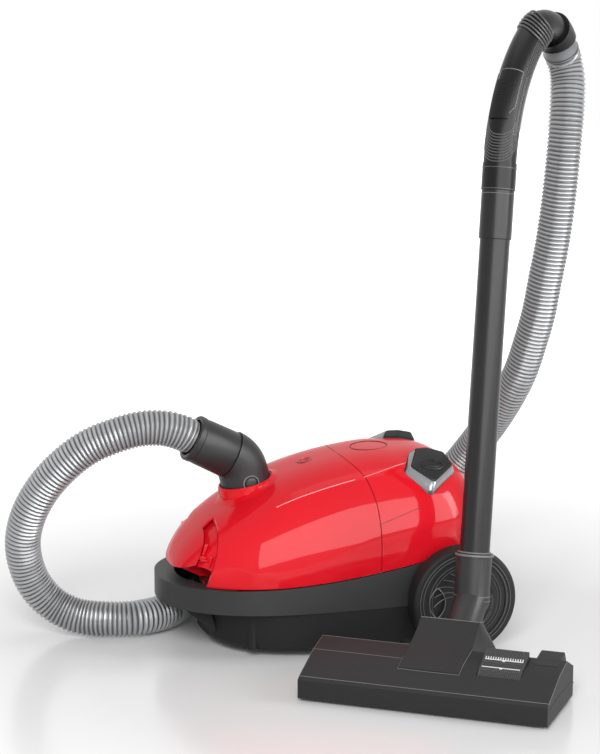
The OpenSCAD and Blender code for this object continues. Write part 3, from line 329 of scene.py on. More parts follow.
# %% [markdown]
# ## The finishes of this machine
# Each call below is one finish, named for where it is used. The colours could be set piece by
# piece, but parts from one mould and one plastic should match, so pieces share these. The
# numbers after the colour are roughness, grain and its size, mottling, coat and metal.

# %% Finishes
red_gloss = finish_of("red_gloss", (0.70, 0.006, 0.016), 0.4, 0.012, 0.004, 0.03, 0.34,
                      coat_roughness=0.03, specular=0.04)
charcoal = finish_of("charcoal_satin", (0.024, 0.024, 0.025), 0.40, 0.10, 0.0007, 0.10,
                     specular=0.3)
band_charcoal = finish_of("band_charcoal", (0.028, 0.028, 0.029), 0.46, 0.14, 0.0007, 0.10,
                          specular=0.25)
belly_black = finish_of("belly_black", (0.007, 0.007, 0.007), 0.6, 0.16, 0.0006, 0.12,
                        specular=0.25)
head_charcoal = finish_of("head_charcoal", (0.019, 0.019, 0.020), 0.5, 0.12, 0.0006, 0.10,
                          specular=0.2)
wand_black = finish_of("wand_black", (0.012, 0.012, 0.013), 0.33, 0.05, 0.0008, 0.08, 0.06,
                       specular=0.25)
tyre_black = finish_of("tyre_black", (0.009, 0.009, 0.009), 0.62, 0.22, 0.0006, 0.12,
                       specular=0.25)
hub_black = finish_of("hub_black", (0.013, 0.013, 0.014), 0.50, 0.30, 0.0009, 0.12, specular=0.25)
pedal_black = finish_of("pedal_black", (0.006, 0.006, 0.006), 0.36, 0.12, 0.0006, 0.1,
                        specular=0.3)
silver_paint = finish_of("silver_paint", (0.24, 0.245, 0.255), 0.24, 0.04, 0.0007, 0.05, 0.2, 0.6)
# Painted shade: near-black red for gaps and lines between parts; also the hinge pins' colour.
gap_shade_and_pin_dark = finish_of("gap_shade_and_pin_dark", (0.05, 0.004, 0.005), 0.5, 0.05, mottle=0.1)
# Painted highlight: lighter than the hub, for the rings, oval and fins on each wheel.
hub_highlight = finish_of("hub_highlight", (0.080, 0.080, 0.083), 0.35, 0.1, 0.0008, 0.08)
# Painted highlight: lighter than the black grip, for its lines, ribs and band and the rocker dots.
grip_highlight = finish_of("grip_highlight", (0.07, 0.07, 0.072), 0.4, 0.08, 0.0006, 0.08)
grip_black = finish_of("grip_black", (0.006, 0.006, 0.006), 0.3, 0.08, 0.0006, 0.08,
                       specular=0.2)
rocker_grey = finish_of("rocker_grey", (0.020, 0.020, 0.021), 0.5, 0.1, 0.0006, 0.08)
# Painted shade: near black for the cuff's split lines and a line along the head's side.
groove_shade = finish_of("groove_shade", (0.012, 0.012, 0.012), 0.6, 0.1, mottle=0.1)
# Painted highlight: light grey for rims and edge lines on black parts.
edge_highlight = finish_of("edge_highlight", (0.15, 0.15, 0.152), 0.4, 0.08, 0.0006, 0.08)
# Painted highlight: a lighter red for the crease along each shoulder.
crease_highlight = finish_of("crease_highlight", (0.86, 0.16, 0.17), 0.3, 0.02, 0.004, 0.03, 0.4)
red_deep = finish_of("red_deep", (0.45, 0.004, 0.008), 0.2, 0.02, 0.004, 0.03, 0.5)
cuff_grey = finish_of("cuff_grey", (0.17, 0.175, 0.185), 0.35, 0.05, 0.0008, 0.08, 0.1)
mark_white = finish_of("mark_white", (0.78, 0.78, 0.77), 0.5, 0.08, 0.0005, 0.03)
inner_grey = finish_of("inner_grey", (0.09, 0.09, 0.095), 0.5, 0.10, 0.0008, 0.1)
steel = finish_of("steel", (0.55, 0.55, 0.56), 0.32, 0.06, 0.0004, 0.06, metallic=1.0)
pressed_metal = finish_of("pressed_metal", (0.62, 0.63, 0.64), 0.4, 0.06, 0.0006, 0.06,
                          metallic=1.0)
carbon_block = finish_of("carbon_block", (0.03, 0.03, 0.03), 0.7, 0.3, 0.0005, 0.2)
card_board = finish_of("card_board", (0.52, 0.39, 0.25), 0.85, 0.25, 0.0006, 0.10)
filter_foam = finish_of("filter_foam", (0.60, 0.60, 0.57), 0.95, 0.7, 0.0014, 0.12)
bristle_black = finish_of("bristle_black", (0.02, 0.02, 0.02), 0.7, 0.6, 0.0008, 0.3, sheen=0.3)
bag_fleece = finish_of("bag_fleece", (0.72, 0.68, 0.60), 0.9, 0.5, 0.0011, 0.10, sheen=0.4)

done_by_hand = {"hose_front", "hose_rear"}
print(len(bpy.data.materials) - CAME_WITH_FRAME, "finishes mixed")

# %% [markdown]
# ## The hose
# The hose is a spiral-ribbed tube. Its line passes through a few dozen points: up over the
# nose, down to the floor, round behind the machine and up to the handle. A bevelled curve
# could draw a plain tube, but the ribs catch the light and show at the outline. So they are
# shaped on a grid whose rows run along that line, five rows to each rib. The hose is one piece
# on the real machine. It is made in two here, split at one point of its line.

# %% Hose line
HOSE_ROUTE = [
    (-285.76, 0, 243.72), (-297.91, 0, 250.05), (-318, 1, 256), (-345, 4, 256.5), (-375, 9, 249),
    (-405, 18, 235), (-431, 28, 213), (-452, 40, 186), (-467, 52, 154), (-473, 63, 120),
    (-468, 71, 86), (-455, 73, 57), (-434, 69, 35), (-407, 57, 23), (-373, 42, 21.5),
    (-340, 38, 21.5), (-308, 51, 21.5), (-282, 77, 21.5), (-255, 110, 21.5),
    (-222, 140, 21.5), (-184, 162, 21.5), (-146, 174, 21.5), (-108, 181, 21.5),
    (-66, 188, 23), (-27, 192, 32), (10, 193, 51), (43, 188, 77), (70, 178, 104),
    (92, 164, 132), (107, 148, 158), (119, 129, 185), (128, 107, 212), (134, 85, 238),
    (139, 66, 263), (144, 50, 290), (149, 36, 325), (154, 24, 362), (158, 15, 405),
    (163, 7, 450), (167, 1, 500), (170, -3, 550), (173, -3, 592), (176, 1, 622),
    (178, 7, 646), (174.72, 10.66, 666.62), (168.16, 4.98, 677.22)]
HOSE_POINTS = [Vector(p) / 1000 + MIDDLE for p in HOSE_ROUTE]
HOSE_SPLIT, HOSE_STEPS = 22, 8


def smooth_line(points):
    """A smooth line through points, with HOSE_STEPS short pieces to each span."""
    line = []
    for i in range(len(points) - 1):
        a, b = points[i], points[i + 1]
        before = points[i - 1] if i else a * 2 - b
        after = points[i + 2] if i + 2 < len(points) else b * 2 - a
        for k in range(HOSE_STEPS):
            t = k / HOSE_STEPS
            line.append(0.5 * ((2 * a) + (b - before) * t
                               + (2 * before - 5 * a + 4 * b - after) * t * t
                               + (3 * a - before - 3 * b + after) * t * t * t))
    return line + [points[-1]]


def evenly(line, gap):
    """The same line with its points a fixed gap apart."""
    total = sum((b - a).length for a, b in zip(line, line[1:]))
    count = max(2, round(total / gap))
    step, out, left, i, here = total / count, [line[0]], total / count, 0, line[0]
    while len(out) < count:
        span = (line[i + 1] - here).length
        if span >= left:
            here = here + (line[i + 1] - here) * (left / span)
            out.append(here)
            left = step
        else:
            left -= span
            i += 1
            here = line[i]
    return out + [line[-1]], total


def frames_along(line):
    """Directions across a line, carried without twist."""
    side, out = Vector((0, 1, 0.2)), []
    for i in range(len(line)):
        along = (line[min(i + 1, len(line) - 1)] - line[max(i - 1, 0)]).normalized()
        side = (side - along * side.dot(along)).normalized()
        out.append((side, along.cross(side)))
    return out


full_line = smooth_line(HOSE_POINTS)
split_at = HOSE_SPLIT * HOSE_STEPS
print("hose length", round(sum((b - a).length for a, b in zip(full_line, full_line[1:])), 3), "m")

# %% Ribbed hose
HOSE_R, RIB_PITCH, ROWS = 0.021, 0.005, 5
RIB_SHAPE = [1.0, 0.985, 0.925, 0.905, 0.955]
HOSE_SIDES, PLAIN_END, PLAIN_ROWS, HOSE_SHARP = 28, 0.93, 3, 50


def hose_piece(line, name, node):
    """Half of the hose, ribbed along its line, standing for one imported hose solid."""
    rows, length = evenly(line, RIB_PITCH / ROWS)
    across = frames_along(rows)
    bm = bmesh.new()
    uv = bm.loops.layers.uv.new("along")
    bmesh.ops.create_grid(bm, x_segments=len(rows) - 1, y_segments=HOSE_SIDES, size=0.5)
    spot = {}
    for v in bm.verts:
        i = round((v.co.x + 0.5) * (len(rows) - 1))
        k = round((v.co.y + 0.5) * HOSE_SIDES)
        spot[v] = (i, k)
    for face in bm.faces:
        for loop in face.loops:
            i, k = spot[loop.vert]
            loop[uv].uv = (i / ROWS, k / HOSE_SIDES)
    for v, (i, k) in spot.items():
        a = 2 * math.pi * k / HOSE_SIDES
        ribbed = PLAIN_ROWS <= i < len(rows) - PLAIN_ROWS
        r = HOSE_R * (RIB_SHAPE[i % ROWS] if ribbed else PLAIN_END)
        v.co = rows[i] + r * (math.cos(a) * across[i][0] + math.sin(a) * across[i][1])
    bmesh.ops.remove_doubles(bm, verts=bm.verts, dist=1e-5)
    rims = [e for e in bm.edges if e.is_boundary]
    bmesh.ops.holes_fill(bm, edges=rims, sides=0)
    bmesh.ops.recalc_face_normals(bm, faces=bm.faces)
    obj = piece_from(bm, name, None, hose_grey, (node,), sharp=HOSE_SHARP)
    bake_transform(obj)
    print(name, "length", round(length, 3), "m, ribs", len(rows) // ROWS)
    return obj, rows, length


# %% [markdown]
# ## The look of the hose
# The real hose is silver-grey plastic with grooves between its ribs, and the shade in those
# grooves is painted into its colour. Its UV map counts the ribs along the line, so a ramp on
# the fraction of that count paints a dark band of shade in each groove. A pattern on plain
# coordinates would slide off the ribs where the hose bends.

# %% Hose finish
hose_grey = finish_of("hose_grey", (0.37, 0.375, 0.385), 0.34, 0.0, mottle=0.05, coat=0.15,
                      metallic=0.3)
# Painted shade: the colour of the dark band in each groove, and where on the rib it lies.
GROOVE_SHADE_COLOUR, GROOVE_FROM, GROOVE_DEEPEST, GROOVE_FADE = (0.02, 0.02, 0.022), 0.12, 0.5, 0.25


def paint_groove_shade(material):
    """Paints a band of shade into each groove, read from how far along the hose the surface is."""
    tree = material.node_tree
    base = tree.nodes["Principled BSDF"].inputs["Base Color"]
    plain = base.links[0].from_socket
    uv = add_node(tree, "UVMap", uv_map="along")
    split = add_node(tree, "SeparateXYZ", {"Vector": uv.outputs["UV"]})
    turn = add_node(tree, "Math", {0: split.outputs["X"]}, operation="FRACT")
    ramp = add_node(tree, "ValToRGB", {"Fac": turn.outputs[0]})
    stops = ramp.color_ramp.elements
    stops[0].position, stops[0].color = GROOVE_FROM, (0, 0, 0, 1)
    stops[1].position, stops[1].color = GROOVE_DEEPEST, (1, 1, 1, 1)
    stops.new(GROOVE_DEEPEST + GROOVE_FADE).color = (0, 0, 0, 1)
    mix = add_node(tree, "Mix", {"A": plain, "B": [*GROOVE_SHADE_COLOUR, 1],
                                 "Factor": ramp.outputs["Color"]}, data_type="RGBA")
    tree.links.new(mix.outputs["Result"], base)


# Paints shade into the grooves between the hose's ribs.
paint_groove_shade(hose_grey)

# %% [markdown]
# ## Both halves of the hose
# Each half is made along its own part of the line, and its length and rib count are printed.

# %% Hose pieces
front_hose, front_rows, front_length = hose_piece(
    full_line[:split_at + 1], "hose_nose_side",
    "hose_front")
rear_hose, rear_rows, rear_length = hose_piece(
    full_line[split_at:], "hose_handle_side",
    "hose_rear")

# %% [markdown]
# ## The red covers
# The front lid and the rear cover are two thin shells of one long domed form. The dome is a
# rounded arch whose width and height follow two smooth curves from nose to tail. A grid of
# points is laid over that form, so the shape stays exact, and two soft ridges are raised on
# it: one along each shoulder and one low on the flank, as pressed tooling would leave them.

# %% The form of the covers
WIDEST, CROWN, NOSE, TAIL, COVER_HALF = -110, -60, 316, 62, 115
FULLNESS, SPRING, CROWN_RISE, SEAM_LOW, SEAM_STEP = 2.7, 84, 136, 83, 0.8


def plan_half(x, front=NOSE, rear=TAIL, half=COVER_HALF):
    """Half of the width at a station along the machine."""
    if x < WIDEST:
        return half * max(0, 1 - ((WIDEST - x) / (WIDEST + front)) ** 2.8) ** (1 / 2.2)
    return half * max(0, 1 - ((x - WIDEST) / (rear - WIDEST)) ** 4) ** (1 / 2.2)


def seam_height(x):
    return SEAM_LOW + 0.00038 * max(0, x + 280) ** 2


def crown_height(x, inset=0):
    if x < CROWN:
        share = (CROWN - x) / (CROWN + NOSE - inset)
        return SPRING + (CROWN_RISE - inset) * max(0, 1 - share ** 1.75) ** 0.58
    share = (x - CROWN) / (TAIL - CROWN - inset)
    return SPRING + (CROWN_RISE - inset) * max(0, 1 - share ** 3.6) ** 0.5


def cover_height(x, y, inset=0):
    """Height of the covers above a point of the plan."""
    half = plan_half(x, NOSE - inset, TAIL - inset, COVER_HALF - inset)
    low = seam_height(x) + SEAM_STEP
    share = min(1, abs(y) / max(half, 1))
    return low + (crown_height(x, inset) - low) * (1 - share ** FULLNESS) ** (1 / FULLNESS)


def between(x, table):
    """Straight interpolation in a short table of pairs."""
    if x <= table[0][0]:
        return table[0][1]
    for (xa, ya), (xb, yb) in zip(table, table[1:]):
        if x <= xb:
            return ya + (yb - ya) * (x - xa) / (xb - xa)
    return table[-1][1]


def soft_step(x, low, high):
    t = min(1, max(0, (x - low) / (high - low)))
    return t * t * (3 - 2 * t)


FLANK_LINE = [(-300, 0.80), (-281, 0.656), (-262, 0.40), (-240, 0.21), (-212, 0.155),
              (-185, 0.155), (-141, 0.253), (-89, 0.345), (-40, 0.37), (0, 0.36), (60, 0.3)]


def ridge(x, rise):
    """How far the surface stands proud, at a share of the height from seam to crown."""
    flank = between(x, FLANK_LINE)
    fade = soft_step(x, -296, -262) * (1 - soft_step(x, 0, 50))
    if rise < flank:
        low = 1.7 * (rise / flank) ** 1.1
    else:
        low = 1.7 * max(0, 1 - (rise - flank) / 0.34) ** 1.5
    edge = between(x, [(-230, 0.84), (-100, 0.853), (-53, 0.905), (60, 0.93)])
    along = soft_step(x, -232, -180) * (1 - soft_step(x, -62, -36))
    high = 2.4 * max(0, 1 - abs(rise - edge) / 0.16) ** 1.6
    return fade * low + along * high


def cover_surface(x, angle):
    """A point of the covers, in metres in the machine's frame."""
    c, s = math.cos(angle), max(0.0, math.sin(angle))
    y = -plan_half(x) * math.copysign(abs(c) ** (2 / FULLNESS), c)
    low = seam_height(x) + SEAM_STEP
    rise = s ** (2 / FULLNESS)
    z = low + (crown_height(x) - low) * rise
    proud = ridge(x, rise)
    out = Vector((0, -math.copysign(abs(c) ** 1.2, c), s ** 1.2 + 1e-6)).normalized()
    point = Vector((x, y, z)) + out * proud
    return point * MM + MIDDLE


def outward(x, angle):
    """The direction that points straight out of the cover at a station and an angle."""
    here = cover_surface(x, angle)
    ahead, over = cover_surface(x + 1, angle) - here, cover_surface(x, angle + 0.01) - here
    normal = ahead.cross(over).normalized()
    away = Vector((0, here.y - MIDDLE.y, here.z - 0.09))
    return normal if normal.dot(away) > 0 else -normal


def parting_station(angle):
    """Station of the line where the lid meets the rear cover."""
    return -92 - 20 * max(0, math.sin(angle)) ** 4


# %% Cutting helper
def cut_away(obj, cutters):
    """Cuts each bmesh in cutters out of obj, and keeps the result as a plain mesh."""
    for bm in cutters:
        bmesh.ops.recalc_face_normals(bm, faces=bm.faces)
        mesh = bpy.data.meshes.new("cutter")
        bm.to_mesh(mesh)
        bm.free()
        tool = bpy.data.objects.new("cutter", mesh)
        bpy.context.scene.collection.objects.link(tool)
        cut = obj.modifiers.new("cut", "BOOLEAN")
        cut.operation, cut.solver, cut.object = "DIFFERENCE", "EXACT", tool
        bpy.context.view_layer.update()
        result = bpy.data.meshes.new_from_object(
            obj.evaluated_get(bpy.context.evaluated_depsgraph_get()))
        obj.modifiers.remove(cut)
        obj.data = result
        bpy.data.objects.remove(tool)
    bm = bmesh.new()
    bm.from_mesh(obj.data)
    bmesh.ops.remove_doubles(bm, verts=bm.verts, dist=MERGE_GAP)
    shade(bm)
    bm.to_mesh(obj.data)
    bm.free()
    return obj


def rod_bmesh(centre, axis, radius, length):
    """A solid rod about a centre point, for cutting or building."""
    bm = bmesh.new()
    turn = Vector(axis).to_track_quat("Z", "Y").to_matrix().to_4x4()
    bmesh.ops.create_cone(bm, cap_ends=True, segments=ROUND_SIDES, radius1=radius, radius2=radius,
                          depth=length, matrix=Matrix.Translation(centre) @ turn)
    return bm


# %% [markdown]
# ## The two red shells
# The lid and the rear cover are thin mouldings that share one form. A loft through sections
# could make them, but a grid laid on that form keeps the parting line exact. Its rows crowd
# towards the tip, where the surface turns fastest, and solidify gives it the wall.

# %% Lid and rear cover shells
SHELL_COLS, SHELL_ROWS, SHELL_WALL, CROWDING, PARTING_GAP = 140, 112, 2.4, 1.6, 0.5
NOSE_TIP, TAIL_TIP = -NOSE + 1.5, TAIL - 4.5


def shell(side, name, node):
    """The lid, side -1, or the rear cover, side 1, as a thin dome from its tip to the parting."""
    start = NOSE_TIP if side < 0 else TAIL_TIP
    bm = bmesh.new()
    bmesh.ops.create_grid(bm, x_segments=SHELL_COLS, y_segments=SHELL_ROWS, size=0.5)
    first = []
    for v in bm.verts:
        along, angle = v.co.x + 0.5, math.pi * (v.co.y + 0.5)
        if along < 1e-4:
            first.append(v)
        end = parting_station(angle) + side * PARTING_GAP
        v.co = cover_surface(start + (end - start) * along ** CROWDING, angle)
    cap = [e for e in bm.edges if all(v in first for v in e.verts)]
    bmesh.ops.contextual_create(bm, geom=cap)
    bmesh.ops.recalc_face_normals(bm, faces=bm.faces)
    top = max(bm.faces, key=lambda f: f.calc_center_median().z)
    if top.normal.z < 0:
        bmesh.ops.reverse_faces(bm, faces=bm.faces)
    bmesh.ops.solidify(bm, geom=bm.faces, thickness=SHELL_WALL * MM)
    return piece_from(bm, name, body_of_node[node], red_gloss, (node,))


# %% [markdown]
# ## The nose
# A groove down each side sets off the nose, with a bridge left over the top, and a gap under it
# leaves room for fingers at the latch. The grooves are prisms taken out of the shell. Behind
# them stand the lid's inner wall, two ribs and the small hooks and rollers of the latch.

# %% Nose grooves
GROOVE_FOOT = 84.5


def cheek(z):
    """Station of a groove's rear edge at a height."""
    return -287 + (z - GROOVE_FOOT) * math.tan(math.radians(17))


def lobe(z):
    """Station of a groove's front edge at a height."""
    return -306.5 + (z - GROOVE_FOOT) * math.tan(math.radians(25))


def upright(outline, thick, y):
    """A prism whose outline lies in the machine's X and Z, thick across it."""
    return prism(outline, thick, MACHINE @ shift(0, y, 0) @ turned(90, "X"))


def groove(low, high):
    return [(lobe(low), low), (lobe(high), high), (cheek(high), high), (cheek(low), low)]


LENS_STATION, LENS_HOLE, INLET_HOLE = -149, 9, 32.4
FINGER_GAP = [(-330, 70), (-330, 86.4), (-296.2, 106.7), (-287, 84.5), (-291.4, 70)]
AT_LENS = (MACHINE @ shift(LENS_STATION, 0, crown_height(LENS_STATION))
           @ turned(-LID_SLOPE, "Y"))
UP = Vector((0, 0, 1))
INLET_AXIS = AT_INLET.to_3x3() @ UP
lid = shell(-1, "front_lid_shell", "front_lid")
cut_away(lid, [rod_bmesh(AT_INLET.translation, INLET_AXIS, INLET_HOLE * MM, 80 * MM),
               rod_bmesh(AT_LENS.translation, INLET_AXIS, LENS_HOLE * MM, 30 * MM),
               upright(groove(70, 173), 128, -86), upright(groove(70, 173), 128, 98),
               upright(groove(70, 134), 60, 0),
               upright(FINGER_GAP, 300, 0)])
print("lid shell", len(lid.data.polygons), "faces")


# %% Inside of the nose
SINK, FLOOR_WALL, SETTLING, WALL_POINTS = 6, 1.4, 12, 12


def lid_wall(x, thick, half, bottom, inset):
    """An upright wall across the lid that follows the shell over it."""
    ys = [half * (k / WALL_POINTS - 1) for k in range(2 * WALL_POINTS + 1)]
    outline = [(y, cover_height(x, y, inset)) for y in ys] + [(half, bottom), (-half, bottom)]
    across = Matrix(((0, 0, 1, 0), (1, 0, 0, 0), (0, 1, 0, 0), (0, 0, 0, 1)))
    return prism(outline, thick, MACHINE @ shift(x, 0, 0) @ across)


def rib(y):
    """A rib beside the latch, close under the shell at the nose."""
    tops = [(x, cover_height(x, y, 1.2 if x < -288 else 8)) for x in range(-306, -260, 3)]
    return upright(tops + [(-262, 86), (-284, 86), (-306, 97)], 2, y)


def half_width(x, z):
    """How far the cover's surface stands from the middle at a station and a height."""
    low = seam_height(x) + SEAM_STEP
    rise = min(1, max(0, (z - low) / max(1, crown_height(x) - low)))
    return plan_half(x) * (1 - rise ** FULLNESS) ** (1 / FULLNESS)


def in_groove(z, share, depth, side):
    """A place in a side groove: at a height, a share of its width and a depth below the skin."""
    x = lobe(z) + (cheek(z) - lobe(z)) * share
    return MACHINE @ shift(x, side * (half_width(x, z) - depth), z)


def groove_floor(side):
    """The sunk red surface at the bottom of a side groove, a fixed depth below the skin."""
    bm = bmesh.new()
    bmesh.ops.create_grid(bm, x_segments=8, y_segments=40, size=0.5)
    for v in bm.verts:
        front = -0.05 - 0.7 * (v.co.y + 0.5)
        share = front + (1.3 - front) * (v.co.x + 0.5)
        start = 0.27 - 0.16 * min(1, max(0, share))
        angle = math.pi / 2 * (start + (1 - start) * (v.co.y + 0.5))
        angle = angle if side < 0 else math.pi - angle
        x = -284  # a first guess, which settles on the groove's own slant
        for _ in range(SETTLING):
            z = cover_surface(x, angle).z / MM
            x = 0.5 * (x + lobe(z) + (cheek(z) - lobe(z)) * share)
        v.co = cover_surface(x, angle) - outward(x, angle) * SINK * MM
    bmesh.ops.recalc_face_normals(bm, faces=bm.faces)
    bmesh.ops.solidify(bm, geom=bm.faces, thickness=FLOOR_WALL * MM)
    return bm


walls = [lid_wall(-275, 2.4, 30.5, 129, 8), lid_wall(-261, 2, 74, 84.6, 1.4), rib(-29.5), rib(29.5)]
for s in (-1, 1):
    walls += [
        groove_floor(s),
        block((4, 4, 17), in_groove(122, 0.28, 6.5, s) @ turned(22, "Y"), 1.2),
        block((10, 3, 2.4), in_groove(112, 0.55, 6.5, s) @ turned(24, "Y"), 1),
        block((2.4, 3, 14), in_groove(112, 0.8, 5.5, s) @ turned(14, "Y"), 1),
        lathe([(0, -3), (3, -3), (3.8, -2), (3.8, 2), (3, 3), (0, 3)],
              in_groove(114, 0.3, 6, s) @ turned(90, "X"), 24)]
nose_inside = piece_from(joined(walls), "front_lid_inside", body_of_node["front_lid"], red_gloss,
                         ("front_lid",))
print("nose inside", len(nose_inside.data.polygons), "faces")

# %% [markdown]
# ## Inlet collar and bag-full window
# The lid swells up to the collar in a soft fillet, which is a ring of the cover's own surface
# lifted towards the collar. Flat tabs stand round the collar. The window is a shallow red dish
# let into its hole, and a near-black ring in the gap round it is painted shade.

# %% Collar fillet, tabs and window
FILLET_FROM, FILLET_WIDE, FILLET_RISE, FILLET_SINK, FILLET_WALL = 32.3, 11, 3, 0.25, 1.2


def on_cover(radius, angle):
    """The point of the cover at a radius and an angle about the inlet's axis."""
    out = AT_INLET.to_3x3() @ Vector((math.cos(angle), math.sin(angle), 0))
    spot = AT_INLET.translation + out * radius * MM - MACHINE.translation
    for _ in range(8):
        drop = cover_height(spot.x / MM, spot.y / MM) * MM - spot.z
        spot += INLET_AXIS * drop
    return spot + MACHINE.translation


fillet = bmesh.new()
bmesh.ops.create_grid(fillet, x_segments=10, y_segments=96, size=0.5)
for v in fillet.verts:
    across, angle = v.co.x + 0.5, 2 * math.pi * (v.co.y + 0.5)
    rise = FILLET_RISE * (1 - across) ** 2 - FILLET_SINK
    v.co = on_cover(FILLET_FROM + FILLET_WIDE * across, angle) + INLET_AXIS * rise * MM
bmesh.ops.remove_doubles(fillet, verts=fillet.verts, dist=MERGE_GAP)
bmesh.ops.recalc_face_normals(fillet, faces=fillet.faces)
if sum(f.normal.dot(INLET_AXIS) for f in fillet.faces) < 0:
    bmesh.ops.reverse_faces(fillet, faces=fillet.faces)
bmesh.ops.solidify(fillet, geom=fillet.faces, thickness=FILLET_WALL * MM)
tabs = [block((1.4, 7, 11), AT_INLET @ turned(a, "Z") @ shift(32.3, 0, -1.5), 0.5)
        for a in range(15, 360, 30)]
sleeve = lathe([(30.3, -11), (30.3, 6.2), (30.8, 6.8), (31.6, 6.8), (32.2, 6.1), (32.3, -11)],
               AT_INLET, 72, closed=True)
piece_from(joined([fillet, sleeve] + tabs), "collar_fillet", "lid", red_gloss, ())
dish = lathe([(0, -2.6), (5.5, -2.2), (7.6, -0.6), (8.1, 0.5), (8.6, 0.55), (8.7, 0), (8.7, -3),
              (0, -3)], AT_LENS)
piece_from(dish, "bag_full_window", "lid", red_deep, ("indicator_lens",))
# Painted shade: a near-black ring in the gap between the window and the lid.
piece_from(ring(9.5, 0.1, 0.9, 0.7, AT_LENS, 48), "window_rim", "lid", gap_shade_and_pin_dark, ())

# %% [markdown]
# ## The rear cover's openings
# Two foot pedals and a round cap sit in holes of the rear cover. The holes could be left out,
# since the pedals would hide them, but their dark edge shows. So the pedal's own outline, a
# little larger, is the cutter, and each hole fits its pedal all round.

# %% Rear cover with its openings
PEDAL_OUTLINE = [(-27, -7), (-12, 25), (0, 27), (19, 20), (24.5, 0), (-6, -30)]
PEDAL_CENTRE, CORNER_ROUND, CORNER_STEPS, PEDAL_PITCH, PEDAL_ROLL = (10, 15), 6, 6, 5, 31


def pedal_place(far):
    """Places a pedal's own directions on the cover: its face is the plane z = 0."""
    turn = turned(PEDAL_PITCH, "Y") @ turned(PEDAL_ROLL, "X")
    place = shift(-19, -72, 205) @ turn
    if far:
        place = Matrix.Scale(-1, 4, Vector((0, 1, 0))) @ place
    return MACHINE @ place


def outline_ring(share, grow):
    """The pedal's rounded outline as a ring of points in its own plane, in millimetres."""
    slide = Vector(PEDAL_CENTRE) * (1 - share)
    corners = [Vector(p) * share + slide for p in PEDAL_OUTLINE]
    radius = CORNER_ROUND * share + grow
    rounded, n = [], len(corners)
    for i, here in enumerate(corners):
        before, after = corners[i - 1], corners[(i + 1) % n]
        a = math.atan2(*(Vector(((here - before).y, -(here - before).x))).yx)
        b = math.atan2(*(Vector(((after - here).y, -(after - here).x))).yx)
        if abs(a - b) > math.pi:
            b += 2 * math.pi if b < a else -2 * math.pi
        flip = -1 if (here - before).cross(after - here) < 0 else 1
        for k in range(CORNER_STEPS + 1):
            t = a + (b - a) * k / CORNER_STEPS
            rounded.append(here + radius * flip * Vector((math.cos(t), math.sin(t))))
    return rounded


def outline_bmesh(layers, place, hollow=False):
    """A solid whose sections are (share, grow, height) outlines, bridged from first to last."""
    bm = bmesh.new()
    loops = []
    for share, grow, height in layers:
        verts = [bm.verts.new((p.x * MM, p.y * MM, height * MM)) for p in outline_ring(share, grow)]
        loops.append([bm.edges.new((verts[i], verts[(i + 1) % len(verts)]))
                      for i in range(len(verts))])
    for lower, upper in zip(loops, loops[1:]):
        bmesh.ops.bridge_loops(bm, edges=lower + upper)
    if hollow:
        bmesh.ops.bridge_loops(bm, edges=loops[-1] + loops[0])
    else:
        bmesh.ops.contextual_create(bm, geom=loops[0])
        bmesh.ops.contextual_create(bm, geom=loops[-1])
    bmesh.ops.transform(bm, matrix=place, verts=bm.verts)
    bmesh.ops.recalc_face_normals(bm, faces=bm.faces)
    return bm


rear = shell(1, "rear_cover_shell", "rear_cover")
BADGE_X, BADGE_HOLE, BADGE_RIM = -70, 22, 21.95
BADGE_AT = Vector((BADGE_X, 0, 217.4)) * MM + MIDDLE
cut_away(rear, [outline_bmesh([(1, 0.3, -30), (1, 0.3, 30)], pedal_place(far)) for far in (0, 1)]
         + [rod_bmesh(BADGE_AT + Vector((0, 0, 0.005)), (0, 0, 1), BADGE_HOLE * MM, 10 * MM)])
print("rear shell", len(rear.data.polygons), "faces")
done_by_hand.update({"front_lid", "rear_cover", "indicator_lens"})

# %% [markdown]
# ## The two foot pedals
# Each pedal is a black cap in a silver bezel whose skirt tapers outwards. The outlines are
# bridged from one height to the next, and the cap carries a raised double oval.

# %% Pedals
BEZEL = [(1, 0, -12), (1, 0, -3.5), (1, -0.6, -2.4), (0.87, -0.6, 4), (0.84, -0.4, 4.4),
         (0.8, 0.6, 4.2), (0.8, 0.3, 3.4), (0.8, 0.3, -12)]
CAP = [(0.8, 0, -6), (0.8, 0, 4.2), (0.785, -0.3, 5.2), (0.75, -0.6, 5.5)]


OVALS = [(13.5, 8.4, 5.45, 0.95), (9.2, 5, 5.45, 0.8), (3.4, 3.2, 5.4, 0.6)]
OVAL_POINTS = 40


def oval(width, tall, height, radius, place):
    """A raised oval line on a pedal, about the middle of its cap."""
    angles = [2 * math.pi * k / OVAL_POINTS for k in range(OVAL_POINTS)]
    return bead([place @ (Vector((1 + width * math.cos(a), tall * math.sin(a), height)) * MM)
                 for a in angles], radius, 8, closed=True)


bezels = joined([outline_bmesh(BEZEL, pedal_place(far), hollow=True) for far in (0, 1)])
for face in bezels.faces:
    middle = face.calc_center_median()
    spot = pedal_place(middle.y > MIDDLE.y).inverted() @ middle / MM
    face.material_index = int(spot.y + 0.35 * spot.x > 15)
bezel_rims = piece_from(bezels, "pedal_bezels_tapered", "canister", silver_paint,
                        ("pedal_bezels",), bevel=0.0003)
bezel_rims.data.materials.append(pedal_black)
for far, node in enumerate(("power_pedal", "rewind_pedal")):
    place = pedal_place(far)
    cap = joined([outline_bmesh(CAP, place)] + [oval(*line, place) for line in OVALS])
    piece_from(cap, node + "_cap", body_of_node[node], pedal_black, (node,))
done_by_hand.update({"pedal_bezels", "power_pedal", "rewind_pedal"})
print("two pedals made")

# %% [markdown]
# ## Lines on the covers
# Fine panel lines and the crisp crease along each shoulder are beads laid just into the
# surface, on stations and angles of the same form as the shells.

# %% Panel lines
LINE_STEPS = 6


